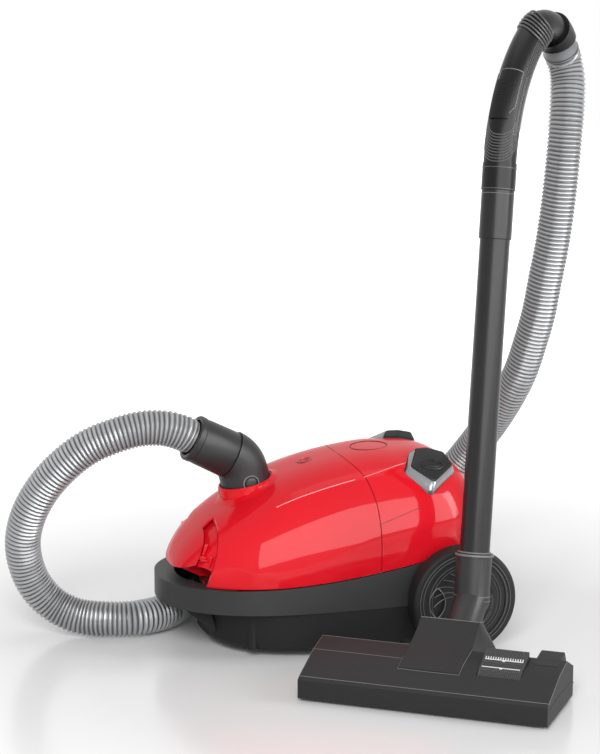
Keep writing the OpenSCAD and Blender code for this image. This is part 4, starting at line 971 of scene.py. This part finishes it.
def angle_at(rise):
    """The angle on a cover whose point stands at a share of the height."""
    return math.asin(min(1, rise) ** (FULLNESS / 2))


def surface_line(stations, side, lift):
    """Points on a cover through (station, rise) pairs, raised by lift, on one side of it."""
    out = []
    for (xa, ra), (xb, rb) in zip(stations, stations[1:]):
        for k in range(LINE_STEPS + ((xb, rb) == stations[-1])):
            x = xa + (xb - xa) * k / LINE_STEPS
            a = angle_at(ra + (rb - ra) * k / LINE_STEPS)
            a = a if side < 0 else math.pi - a
            out.append(cover_surface(x, a) + outward(x, a) * lift * MM)
    return out


SHOULDER = [(-206, 0.842), (-180, 0.845), (-150, 0.847), (-113, 0.851)]
SHOULDER_REAR = [(-102, 0.854), (-80, 0.872), (-58, 0.898), (-46, 0.915)]
PANEL_REAR = [(-94, 0.455), (-80, 0.475), (-60, 0.51), (-40, 0.545)]
# The shoulder creases are beads painted a lighter red than the cover, as a highlight.
for name, body, line, lift, thick, paint, slot in (
        ("shoulder_crease_front", "lid", SHOULDER, 0.35, 0.55, crease_highlight, "red_gloss"),
        ("shoulder_crease_rear", "canister", SHOULDER_REAR, 0.35, 0.55, crease_highlight, "red_gloss"),
        # The panel line is a near-black bead: painted shade along it.
        ("cover_panel_line", "canister", PANEL_REAR, 0.0, 0.32, gap_shade_and_pin_dark, "black_plastic")):
    pair = joined([bead(surface_line(line, side, lift), thick) for side in (-1, 1)])
    piece_from(pair, name, body, paint, ())

# %% [markdown]
# ## Parting strip and badge
# A dark strip under the gap between lid and cover stops light from passing through it, and its
# near-black colour is painted shade in that gap. The badge is a plain round cap in its hole. It
# could be a flat disc, but the cover curves there, so its points and the bead of its rim are
# lifted onto the cover's own surface. That bead is near black, as painted shade in the gap round
# the badge.

# %% Parting strip and badge
STRIP_WIDE, STRIP_SINK, STRIP_WALL, RIM_POINTS = 9, 3, 0.6, 72

strip = bmesh.new()
bmesh.ops.create_grid(strip, x_segments=2, y_segments=90, size=0.5)
for v in strip.verts:
    angle = math.pi * (0.02 + 0.96 * (v.co.y + 0.5))
    x = parting_station(angle) + STRIP_WIDE * v.co.x
    v.co = cover_surface(x, angle) - outward(x, angle) * STRIP_SINK * MM
bmesh.ops.recalc_face_normals(strip, faces=strip.faces)
bmesh.ops.solidify(strip, geom=strip.faces, thickness=STRIP_WALL * MM)
# Painted shade in the parting gap: the strip is near black.
piece_from(strip, "parting_strip", "canister", gap_shade_and_pin_dark, ())

badge = lathe([(0, 0), (5, 0), (10, 0), (14, 0), (18, 0), (21.2, 0), (21.6, -0.5), (21.6, -2.4),
               (0, -2.4)], MACHINE @ shift(BADGE_X, 0, 0), RIM_POINTS)
for v in badge.verts:
    v.co.z += cover_height((v.co.x - MIDDLE.x) / MM, v.co.y / MM - MIDDLE.y / MM) * MM
piece_from(badge, "badge_cap", "canister", red_gloss, ("badge_disc",), sharp=28)
rim = []
for k in range(RIM_POINTS):
    a = 2 * math.pi * k / RIM_POINTS
    x, y = BADGE_X + BADGE_RIM * math.cos(a), BADGE_RIM * math.sin(a)
    rim.append(MIDDLE + Vector((x, y, cover_height(x, y) + 0.4)) * MM)
# Painted shade in the gap round the badge: a near-black bead.
piece_from(bead(rim, 0.38, closed=True), "badge_rim", "canister", gap_shade_and_pin_dark, ())
done_by_hand.add("badge_disc")
print("badge rim of", len(rim), "points")

# %% [markdown]
# ## Elbow and front cuff
# The elbow is one moulding with a base ring, a seam where the cuff turns on it, and a round
# release button in a ring. The cuff has a split line along each side and a stepped flange where
# the hose goes in, so it is spun new from its profile. The ring round the button is painted
# light grey, as a highlight, and the split lines are near-black beads, as painted shade.

# %% Elbow and cuff details
SPLIT_TURN, SPLIT_R, SPLIT_TAPER, TAB_HEIGHTS = 62, 27.62, 0.011, (8, 36)

elbow_bits = [ring(29.3, 1.6, 1.2, 3.2, AT_INLET), ring(29.15, 6.2, 1, 0.9, AT_INLET),
              ring(28.6, -1.6, 2, 0.8, ELBOW_END)]
piece_from(joined(elbow_bits), "elbow_rings", "lid", charcoal, ())
ON_BUTTON = AT_INLET @ shift(0, -28.2, 9) @ turned(90, "X")
# Painted highlight: the ring round the button is light grey.
piece_from(ring(9.6, 0.2, 1.3, 1.6, ON_BUTTON, 40), "button_ring", "lid", edge_highlight, ())
cap = lathe([(0, 2.0), (3.5, 1.9), (5.8, 1.4), (7.0, 0.4), (7.3, -0.6), (7.5, -5), (0, -5)],
            ON_BUTTON, 40)
piece_from(cap, "elbow_button_cap", body_of_node["elbow_button"], charcoal, ("elbow_button",))
cuff_body = lathe([(25.3, 0.4), (27.2, 0.4), (27.6, 1.2), (27.0, 38), (26.6, 44), (27.4, 44.8),
                   (27.4, 50.6), (26.4, 52), (22.2, 52), (21.6, 50), (21.6, 14), (25.3, 14)],
                  ELBOW_END, 72, closed=True)
cuff_bits, split_lines = [cuff_body], []
for side in (-1, 1):
    turn = turned(side * SPLIT_TURN, "Z")
    split_lines.append(bead([
        ELBOW_END @ turn @ (Vector((SPLIT_R - SPLIT_TAPER * z, 0, z)) * MM)
        for z in range(2, 44, 3)], 0.7))
    for z in TAB_HEIGHTS:
        cuff_bits.append(block((1.2, 7, 3), ELBOW_END @ turn @ shift(27.3, 0, z), 0.5))
piece_from(joined(cuff_bits), "front_cuff_turned", body_of_node["front_hose_cuff"], charcoal,
           ("front_hose_cuff",), bevel=0.0003)
# Painted shade: near-black beads along the cuff's split lines.
piece_from(joined(split_lines), "cuff_split_lines", body_of_node["front_hose_cuff"],
           groove_shade, ())
done_by_hand.update({"elbow_button", "front_hose_cuff"})
print("elbow and cuff detailed")

# %% [markdown]
# ## Rear wheels
# Each wheel has a soft tyre with a rounded shoulder, an inner lip, a deep groove and a dished
# disc. The disc carries a pointed oval boss and thin curved fins. The rings are lathe bands, and
# the oval and the fins are beads and blades set on the disc's face. All of them are painted a
# lighter grey than the disc, as highlights, which is what makes the inner lip bright.

# %% Wheel faces
WHEEL_OUT, WHEEL_UP, FACE_SIDES = 143.5, 62.5, 96
FACE_RINGS = [(55.6, -0.3, 1.0, 1.6), (51.8, -0.9, 1.0, 1.4), (44.2, -1.9, 0.8, 1.0),
              (40.6, -1.9, 0.6, 0.9)]
LEAF_SIDES = ((-22, 123), (-46, -57))
LEAF_R, LEAF_POINTS, LEAF_STEP, LEAF_DEPTH = 21.6, 20, 6, -1.3
LONG_FINS, LONG_SWING, LONG_STEPS, LONG_DEPTH = 5, -0.5, 8, -1.8
FINE_FINS, FINE_SWING, FINE_STEPS, FINE_DEPTH = 9, 0.6, 10, -1.9


def wheel_face(side):
    """Raised details of a wheel's outer face; side is -1 for the near wheel."""
    face = MACHINE @ shift(0, side * WHEEL_OUT, WHEEL_UP) @ turned(-90 * side, "X")

    def spot(x, y, depth):
        return face @ (Vector((x, y, depth)) * MM)

    def fin(reach, start, swing, steps, depth):
        """A curved fin; reach gives its two half sizes at a share of its run."""
        out = []
        for j in range(steps + 1):
            wide, tall = reach(j / steps)
            a = math.radians(start) + swing * (j / steps)
            out.append(spot(wide * math.cos(a), tall * math.sin(a), depth))
        return out

    bits = [ring(*line, face, FACE_SIDES) for line in FACE_RINGS]
    leaf = [spot(middle + LEAF_R * math.cos(a), LEAF_R * math.sin(a), LEAF_DEPTH)
            for middle, low in LEAF_SIDES
            for a in (math.radians(low + LEAF_STEP * k) for k in range(LEAF_POINTS))]
    bits.append(bead(leaf, 0.7, closed=True))
    for k in range(LONG_FINS):
        bits.append(bead(fin(lambda t: (38 - 22 * t, 38 - 22 * t), 118 + 17 * k,
                             LONG_SWING, LONG_STEPS, LONG_DEPTH), 0.55))
    for k in range(FINE_FINS):
        bits.append(bead(fin(lambda t: (36 - 0.5 * k, 36 - 2.6 * k), -60 + 8 * k,
                             FINE_SWING, FINE_STEPS, FINE_DEPTH), 0.35))
    return joined(bits)


# Painted highlight: the rings, oval and fins are lighter than the black hub.
for side, node in ((-1, "near_wheel_hub"), (1, "far_wheel_hub")):
    piece_from(wheel_face(side), node + "_relief", body_of_node[node], hub_highlight, ())
print("wheel faces detailed")

# %% [markdown]
# ## Wand, sleeve and neck
# Thin rims mark each joint of the wand: the upper sleeve's end, the lower sleeve's collar and
# the swivel cup of the neck. They are narrow lathe bands in the wand's own directions, painted
# light grey as highlights along the joints.

# %% Wand rims
WAND_RINGS = [(18.9, 405, 0.9, 0.8), (19.1, 1.4, 2.2, 2.2), (20.7, -47.5, 1.2, 1.1),
              (21.1, -52.5, 2.0, 0.9), (21.9, -1.4, 1.2, 2.6)]
wand_bits = [ring(*line, AT_WAND) for line in WAND_RINGS]
# Painted highlight: the rims are light grey against the black wand.
piece_from(joined(wand_bits), "wand_rims", "wand", edge_highlight, ())
print(len(WAND_RINGS), "rims on the wand")

# %% [markdown]
# ## The curved handle
# A place on the handle is given by its run along the bend, its turn round the pipe and its
# radius. With that, the nested grip lines, the long ribs inside the bend, the sunk slider panel
# and the ribbed band over the top are all beads along simple paths. The grip lines, ribs and
# band are painted lighter than the black pipe, and the slider panel's rim light grey, as
# highlights.

# %% Places on the handle
LONG_RUN = math.radians(LONG_TURN) * LONG_BEND


def on_grip(run, round_by, radius):
    """A point at a run along the handle; round_by is 0 outside the bend and 180 inside it."""
    if run <= GRIP_STRAIGHT:
        place = AT_GRIP @ shift(0, 0, run)
    elif run <= GRIP_STRAIGHT + LONG_RUN:
        place = (AT_GRIP @ shift(0, 0, GRIP_STRAIGHT)
                 @ past_bend(LONG_BEND, math.degrees((run - GRIP_STRAIGHT) / LONG_BEND)))
    else:
        left = math.degrees((run - GRIP_STRAIGHT - LONG_RUN) / TIGHT_BEND)
        place = (AT_GRIP @ shift(0, 0, GRIP_STRAIGHT) @ past_bend(LONG_BEND, LONG_TURN)
                 @ past_bend(TIGHT_BEND, left))
    a = math.radians(round_by)
    return place @ (Vector((radius * math.sin(a), -radius * math.cos(a), 0)) * MM)


def grip_line(path, radius, thick, sides=6, closed=False):
    return bead([on_grip(run, turn, radius) for run, turn in path], thick, sides, closed)


# %% Grip lines, ribs and band
NESTED_LINES, NESTED_HALF, LONG_RIBS, BAND_RINGS = 10, 14, 6, 6

grip_bits = []
for k in range(NESTED_LINES):
    foot, spread = 31 + 3.1 * k, 78 - 1.5 * k
    path = [(foot + 20 * abs(j / NESTED_HALF) ** 2.6, 12 + spread * j / NESTED_HALF)
            for j in range(-NESTED_HALF, NESTED_HALF + 1)]
    grip_bits.append(grip_line(path, 18.55, 0.62))
for k in range(LONG_RIBS):
    turn = 64 + 8 * k
    grip_bits.append(grip_line([(r, turn) for r in range(58 + 2 * k, 200, 6)], 18.5, 0.7))
for side in (-58, 72):
    grip_bits.append(grip_line([(r, side + 4) for r in range(66, 134, 5)], 18.6, 0.5))
grip_bits += [grip_line([(25, a) for a in range(0, 360, 10)], 19.1, 0.55, closed=True),
              grip_line([(1.2, a) for a in range(0, 360, 10)], 19.2, 0.6, closed=True)]
for k in range(BAND_RINGS):
    ring_path = [(196 + 5.2 * k + 13 * math.cos(math.radians(a - 250)), a)
                 for a in range(0, 360, 8)]
    grip_bits.append(grip_line(ring_path, 19.5 + 0.25 * min(k, 3), 1.25, 8, closed=True))
# Painted highlight: the grip lines, ribs and band are lighter than the black pipe.
piece_from(joined(grip_bits), "handle_grip_lines", "wand", grip_highlight, ())

window = [(80 + 12 * abs(j / 12) ** 2.4, 10 + 44 * j / 12) for j in range(-12, 13)]
window += [(r, 54) for r in range(96, 133, 6)] + [(133, 10 + 44 * j / 6) for j in range(6, -7, -1)]
window += [(r, -34) for r in range(128, 92, -6)]
# Painted highlight: the rim round the slider panel is light grey.
piece_from(grip_line(window, 18.7, 0.55, closed=True), "slider_window_rim", "wand", edge_highlight,
           ())
SLIDER_RIBS, SLIDER_RIB_FROM, SLIDER_RIB_GAP = 7, 20, 3
slider_bits = [merged("suction_slider")]
slider_run = GRIP_STRAIGHT + math.radians(SLIDER_FROM) * LONG_BEND
for k in range(SLIDER_RIBS):
    path = [(slider_run + SLIDER_RIB_FROM + SLIDER_RIB_GAP * k, a) for a in range(-22, 24, 4)]
    slider_bits.append(grip_line(path, 21.0, 0.6))
piece_from(joined(slider_bits), "suction_slider_ribbed", body_of_node["suction_slider"],
           grip_black, ("suction_slider",), bevel=0.0003)
done_by_hand.add("suction_slider")

# %% [markdown]
# ## The cuff at the end of the handle
# The hose turns in a translucent grey cuff with a thin dark rim. A tube would do for its
# outside, but the step and lip at its mouth show, so it is spun from its profile like the other.

# %% Hose cuff at the handle
CUFF_AT = (AT_GRIP @ shift(0, 0, GRIP_STRAIGHT) @ past_bend(LONG_BEND, LONG_TURN)
           @ past_bend(TIGHT_BEND, TIGHT_TURN))
cuff = lathe([(16, 0), (20, 0), (20.5, 0.8), (20.5, 3.5), (19.6, 4.4), (20.2, 12), (21, 14.4),
              (21, 16), (19.6, 16.4), (16, 16)], CUFF_AT, closed=True)
piece_from(cuff, "rear_cuff_turned", body_of_node["rear_hose_cuff"], cuff_grey,
           ("rear_hose_cuff",))
piece_from(ring(21.3, 14.9, 1.2, 1.6, CUFF_AT), "rear_cuff_rim",
           body_of_node["rear_hose_cuff"], charcoal, ())
done_by_hand.add("rear_hose_cuff")
print("handle detailed")

# %% [markdown]
# ## The floor head
# The head's shell keeps its solid. On it sit a flared gusset beside the neck, a flat tab at the
# rear corner, a fine line round the foot of the neck and the rocker's face: rows of small grip
# dots, a white comb for carpet and a plain white line for hard floors. The fine line round the
# neck and thin lines along the head's edges and creases are light grey, as painted highlights,
# and a dark line along the head's side is painted shade.

# %% Neck gusset, tab and lines
NECK_SIDE, HEAD_EDGE = -36.4, 138.6


def on_head(u, v, z):
    """A place on the floor head, from its own middle: across, along and up."""
    return AT_HEAD @ (Vector((u, v, z)) * MM)


def corners_bmesh(points):
    """The convex solid through a few corner points."""
    bm = bmesh.new()
    for point in points:
        bm.verts.new(point)
    bmesh.ops.convex_hull(bm, input=bm.verts)
    bmesh.ops.recalc_face_normals(bm, faces=bm.faces)
    return bm


gusset = corners_bmesh([on_head(*c) for c in (
    (31.6, 54, 71.6), (31.6, 69, 67.6), (31.6, 44, 40.4), (31.6, 72, 34), (31.6, 20, 49.4),
    (48, 62, 31.2), (46, 34, 44.6), (49, 71, 33.5), (48, 60, 44))])
tab = corners_bmesh([on_head(*c) for c in (
    (104, 4, 45.8), (133, 4, 45.8), (133, 44, 38.4), (104, 44, 38.4), (105, 5, 47.9),
    (132, 5, 47.9), (131, 42, 52.6), (105, 42, 52.6))])
piece_from(joined([gusset, tab]), "head_gusset_and_tab", "head", head_charcoal, (), bevel=0.0006)
foot_line = [on_head(*c) for c in (
    (NECK_SIDE, 44, 38.9), (NECK_SIDE, 20, 50.1), (NECK_SIDE, -12, 44.1),
    (NECK_SIDE, -29.4, 37.8), (0, -29.6, 37.7), (32.4, -29.4, 37.8), (32.4, -12, 44.1),
    (32.4, 20, 50.1))]
top_line = [on_head(-35.8, 55, 72), on_head(31.8, 55, 72), on_head(31.8, 69.5, 68.2)]
head_lines = [bead([on_head(-HEAD_EDGE, v, z), on_head(end, v, z)], thick)
              for v, z, end, thick in ((-58, 26.9, HEAD_EDGE, 0.4), (-12, 43.9, -37, 0.3),
                                       (20, 49.9, -37, 0.35))]
for side in (-138.7, 138.7):
    head_lines.append(bead([on_head(side, *spot) for spot in (
        (-62.6, 4), (-62.6, 23.6), (-58, 26.8), (-12, 43.8), (20, 49.8), (43, 39))], 0.35))
# Painted highlights: light grey lines along the neck's foot and the head's edges and creases.
piece_from(joined([bead(foot_line, 0.45), bead(top_line, 0.5)] + head_lines),
           "neck_edge_lines", "head", edge_highlight, ())
side_line = [on_head(139.1, v, z) for v, z in ((-57, 20), (-10, 22), (40, 21), (52, 16))]
# Painted shade: a dark line along the head's side.
piece_from(bead(side_line, 0.4), "head_side_line", "head", groove_shade, ())

# %% [markdown]
# ## The rocker
# The foot rocker switches the brush. Its stepped face carries fine dots for grip and two marks:
# a comb for carpet and a line for hard floors. They could be a pattern in the finish, but
# raised bars catch the light, so each is a small block set on the slope where it stands. The
# dots also get a lighter colour than the rocker, as painted highlights.

# %% Rocker face
ROCKER_TOP = [(-24, 37), (-14, 45), (-5, 47), (6, 54), (13, 58)]
ROCKER_U = (50.5, 98.5)
BAR_LIFT, DOTS_IN_ROW, DOT_GAP, ROW_GAP, CLEAR_OF_MARKS = 0.3, 20, 2.15, 1.55, 2.9
MARK_LONG, COMB_TEETH, TOOTH_GAP = 42, 16, 2.72


def rocker_spot(run):
    """A (V, Z) place and slope at a run up the rocker's stepped face."""
    for (va, za), (vb, zb) in zip(ROCKER_TOP, ROCKER_TOP[1:]):
        span = math.hypot(vb - va, zb - za)
        if run <= span or (vb, zb) == ROCKER_TOP[-1]:
            t, slope = run / span, math.degrees(math.atan2(zb - za, vb - va))
            return va + (vb - va) * t, za + (zb - za) * t, slope
        run -= span


def rocker_bar(u, run, size):
    """A small raised block on the rocker's face."""
    v, z, slope = rocker_spot(run)
    return block(size, AT_HEAD @ shift(u, v, z) @ turned(slope, "X") @ shift(0, 0, BAR_LIFT))


ROCKER_RUN = sum(math.dist(a, b) for a, b in zip(ROCKER_TOP, ROCKER_TOP[1:]))
COMB_RUN, LINE_RUN = 0.63 * ROCKER_RUN, 0.31 * ROCKER_RUN
dots, run = [], 1.5
while run < ROCKER_RUN - 1:
    if min(abs(run - COMB_RUN), abs(run - LINE_RUN)) > CLEAR_OF_MARKS:
        dots += [rocker_bar(ROCKER_U[0] + 3 + DOT_GAP * k, run, (1.35, 0.8, 0.7))
                 for k in range(DOTS_IN_ROW)]
    run += ROW_GAP
dressed("rocker_pedal", rocker_grey, 0.0004)
# Painted highlight: the grip dots are lighter than the rocker.
piece_from(joined(dots), "rocker_dots", body_of_node["rocker_pedal"], grip_highlight, ())
middle_u = sum(ROCKER_U) / 2
marks = []
for run, thick in ((LINE_RUN, 1.1), (COMB_RUN, 0.9)):
    marks += [rocker_bar(middle_u, run, (MARK_LONG, thick, 0.7)),
              rocker_bar(middle_u, run - 1.1, (3, 1.2, 0.7))]
marks += [rocker_bar(middle_u - 20.4 + TOOTH_GAP * k, COMB_RUN + 1.9, (1.0, 3.4, 0.8))
          for k in range(COMB_TEETH)]
piece_from(joined(marks), "rocker_marks", body_of_node["rocker_pedal"], mark_white, ())
done_by_hand.add("rocker_pedal")
print("floor head detailed, rocker face", round(ROCKER_RUN, 1), "mm long")

# %% [markdown]
# ## The bristles
# The brush is two rows of small tapered tufts in a holder. Hair would be finer, but a tuft is
# stiff and the rows are only glimpsed, so each tuft is one tapered cone with six sides.

# %% Bristles
TUFTS_IN_ROW, TUFT_GAP, TUFT_FROM, TUFT_FOOT, TUFT_TIP, TUFT_LONG = 62, 3, -91.5, 1.2, 0.7, 6.5

tufts = []
for row in (0, 1):
    for k in range(TUFTS_IN_ROW):
        u = TUFT_FROM + TUFT_GAP * k
        tuft = bmesh.new()
        bmesh.ops.create_cone(tuft, cap_ends=True, segments=6, radius1=TUFT_FOOT * MM,
                              radius2=TUFT_TIP * MM, depth=TUFT_LONG * MM,
                              matrix=AT_HEAD @ shift(u, -22.4 + 3 * row, 3.3)
                              @ turned(180, "X"))
        tufts.append(tuft)
holder = block((186, 6, 4.6), AT_HEAD @ shift(0, -20.7, 7.6), 0.4)
piece_from(joined(tufts + [holder]), "brush_tufts", body_of_node["brush_strip"], bristle_black,
           ("brush_strip",))

print(len(tufts), "tufts")

# %% [markdown]
# ## The dust bag
# The bag is fleece blown tight by its filling. A cloth simulation could blow it up, but it sits
# in a close chamber and is seen only with the lid open. So the closed form of its solid is
# divided, drawn in a little and gathered into folds that run from its neck, with a welded
# seam round its waist.

# %% Dust bag
PULL_IN, FOLD_DEEP, WAIST_DEEP, WAIST_HALF, BAG_TALL = 1.6, 1.5, 1.8, 0.003, 0.04

bag = merged("dust_bag")
bmesh.ops.subdivide_edges(bag, edges=bag.edges, cuts=3, use_grid_fill=True, smooth=0.6)
middle = sum((v.co for v in bag.verts), Vector()) / len(bag.verts)
for v in bag.verts:
    out = v.co - middle
    turn, tall = math.atan2(out.y, out.x), out.z / BAG_TALL
    fold = math.sin(11 * turn + 1.3 * tall) * 0.5 + math.sin(23 * turn - 2 * tall) * 0.25
    waist = math.exp(-(out.z / WAIST_HALF) ** 2)
    pull = PULL_IN + FOLD_DEEP * fold * min(1, abs(tall)) + WAIST_DEEP * waist
    v.co -= out.normalized() * pull * MM
bmesh.ops.recalc_face_normals(bag, faces=bag.faces)
bag_piece = piece_from(bag, "dust_bag_fleece", body_of_node["dust_bag"], bag_fleece,
                       ("dust_bag",), sharp=60)
done_by_hand.update({"brush_strip", "dust_bag"})
print("bag", len(bag_piece.data.polygons), "faces")

# %% [markdown]
# ## Finish for every solid that already has its shape
# Frames, wheels, screws and the motor's pieces keep the shape of their solids. Each gets
# rounded edges, because a knife-sharp edge never catches light, and the finish of its kind.

# %% Dress the solids
FINISH_OF_SLOT = {
    "red_gloss": red_gloss, "charcoal_satin": charcoal, "black_plastic": belly_black,
    "inner_plastic": inner_grey, "tyre_black": tyre_black, "silver_bezel": silver_paint,
    "clear_grey": cuff_grey, "steel": steel, "motor_metal": pressed_metal,
    "carbon": carbon_block, "bag_paper": bag_fleece, "card": card_board,
    "bristle": bristle_black, "foam": filter_foam, "wand_black": wand_black}
OWN_FINISH = {
    "bumper_band": band_charcoal, "head_shell": head_charcoal, "neck_block": head_charcoal,
    "near_wheel_hub": hub_black, "far_wheel_hub": hub_black, "lid_hinge_pins": gap_shade_and_pin_dark,
    "handle_pipe": grip_black}
WIDE_EDGE = {"head_shell": 0.0018, "neck_block": 0.0008, "bumper_band": 0.0012,
             "lower_tray": 0.001}
for node in sorted(nodes):
    if node not in done_by_hand:
        dressed(node, OWN_FINISH.get(node, FINISH_OF_SLOT.get(slot_of_node[node], inner_grey)),
                WIDE_EDGE.get(node, SMALL_EDGE))
print("dressed", len(nodes) - len(done_by_hand), "solids")

# %% [markdown]
# ## The studio floor
# A wide pale floor lies under the machine, with a white world all round it. A painted wall
# could close the view, but from behind it would hide the machine. So what looks straight at
# the world, and what a mirror or glass shows of it, is white. The floor keeps the machine's
# shadow and glows more with distance, so it runs into that white without a line.

# %% What sees white
def sees_white(tree):
    """1 for rays from the camera, off a gloss or through glass, and 0 for the rest."""
    rays = add_node(tree, "LightPath").outputs
    direct = add_node(tree, "Math", {0: rays["Is Camera Ray"], 1: rays["Is Glossy Ray"]},
                      operation="MAXIMUM")
    return add_node(tree, "Math", {0: direct.outputs[0], 1: rays["Is Transmission Ray"]},
                    operation="MAXIMUM").outputs[0]


# %% Floor
FLOOR_HALF, FLOOR_DROP, FLOOR_GREY, FLOOR_ROUGH = 6, 0.0006, 0.84, 0.2
GLOW_FROM, GLOW_TO, GLOW_LEAST, GLOW_MOST = 0.35, 1.9, 0.03, 1.0


def floor_paint():
    """Pale paint that also glows where it is seen, more so with distance from the middle."""
    material = bpy.data.materials.new("floor_white")
    material.use_nodes = True
    tree = material.node_tree
    shader = tree.nodes["Principled BSDF"]
    shader.inputs["Base Color"].default_value = (FLOOR_GREY, FLOOR_GREY, FLOOR_GREY, 1)
    shader.inputs["Roughness"].default_value = FLOOR_ROUGH
    reach = add_node(tree, "VectorMath", {0: add_node(tree, "TexCoord").outputs["Object"]},
                     operation="LENGTH")
    glow = add_node(tree, "MapRange", {
        "From Min": GLOW_FROM, "From Max": GLOW_TO, "To Min": GLOW_LEAST, "To Max": GLOW_MOST,
        "Value": reach.outputs["Value"]})
    light = add_node(tree, "Emission", {"Strength": glow.outputs["Result"]})
    both = add_node(tree, "AddShader", {0: shader.outputs[0], 1: light.outputs[0]})
    result = add_node(tree, "MixShader", {"Fac": sees_white(tree), 1: shader.outputs[0],
                                          2: both.outputs[0]})
    tree.links.new(result.outputs[0], tree.nodes["Material Output"].inputs["Surface"])
    return material


sheet = bmesh.new()
bmesh.ops.create_grid(sheet, x_segments=1, y_segments=1, size=FLOOR_HALF,
                      matrix=Matrix.Translation((0, 0, -FLOOR_DROP)))
floor_mesh = bpy.data.meshes.new("floor")
sheet.to_mesh(floor_mesh)
sheet.free()
floor_mesh.materials.append(floor_paint())
floor = bpy.data.objects.new("floor", floor_mesh)
bpy.context.scene.collection.objects.link(floor)
print("floor of", 2 * FLOOR_HALF, "m")

# %% [markdown]
# ## Lamps and world
# Gloss on dark plastic is read from the shapes it reflects, so the lamps are wide and soft. The
# key lamp lights and is left out of reflections, where it would burn a hard square. The front
# card does the reverse: it only shows as a long soft sheen.

# %% Lamps and world
def lamp(name, at, aim, size, watts):
    """A soft rectangular lamp that points from one place at another."""
    data = bpy.data.lights.new(name, "AREA")
    data.shape, data.size, data.size_y, data.energy = "RECTANGLE", size[0], size[1], watts
    obj = bpy.data.objects.new(name, data)
    obj.location = at
    obj.rotation_mode = "QUATERNION"
    obj.rotation_quaternion = (Vector(aim) - Vector(at)).to_track_quat("-Z", "Y")
    bpy.context.scene.collection.objects.link(obj)
    return obj


key = lamp("key_softbox", (-1.1, -2.4, 1.8), (0, 0, 0.2), (1.2, 1.2), 69)
key.visible_glossy = False
fill = lamp("fill_softbox", (2.6, -1.3, 1.4), (0, 0, 0.25), (0.7, 1.6), 28)
top = lamp("top_softbox", (0.1, 0.5, 2.8), (0, 0, 0), (1.6, 1.6), 8)
front_card = lamp("front_reflector", (0.85, -2.5, 1.5), (0, 0, 0.3), (5.8, 2.1), 230)
front_card.visible_diffuse = False

WHITE, SKY_LIGHT, SKY_SEEN = (1, 1, 1, 1), 0.35, 1.0
world = bpy.data.worlds.new("studio_world")
bpy.context.scene.world = world
world.use_nodes = True
sky_tree = world.node_tree
sky = sky_tree.nodes["Background"]
sky.inputs["Color"].default_value, sky.inputs["Strength"].default_value = WHITE, SKY_LIGHT
white = add_node(sky_tree, "Background", {"Color": WHITE, "Strength": SKY_SEEN})
mixed = add_node(sky_tree, "MixShader", {"Fac": sees_white(sky_tree), 1: sky.outputs[0],
                                         2: white.outputs[0]})
sky_tree.links.new(mixed.outputs[0], sky_tree.nodes["World Output"].inputs["Surface"])
bpy.context.scene.view_settings.view_transform = "Standard"
print("lamps:", ", ".join(made.name for made in (key, fill, top, front_card)))
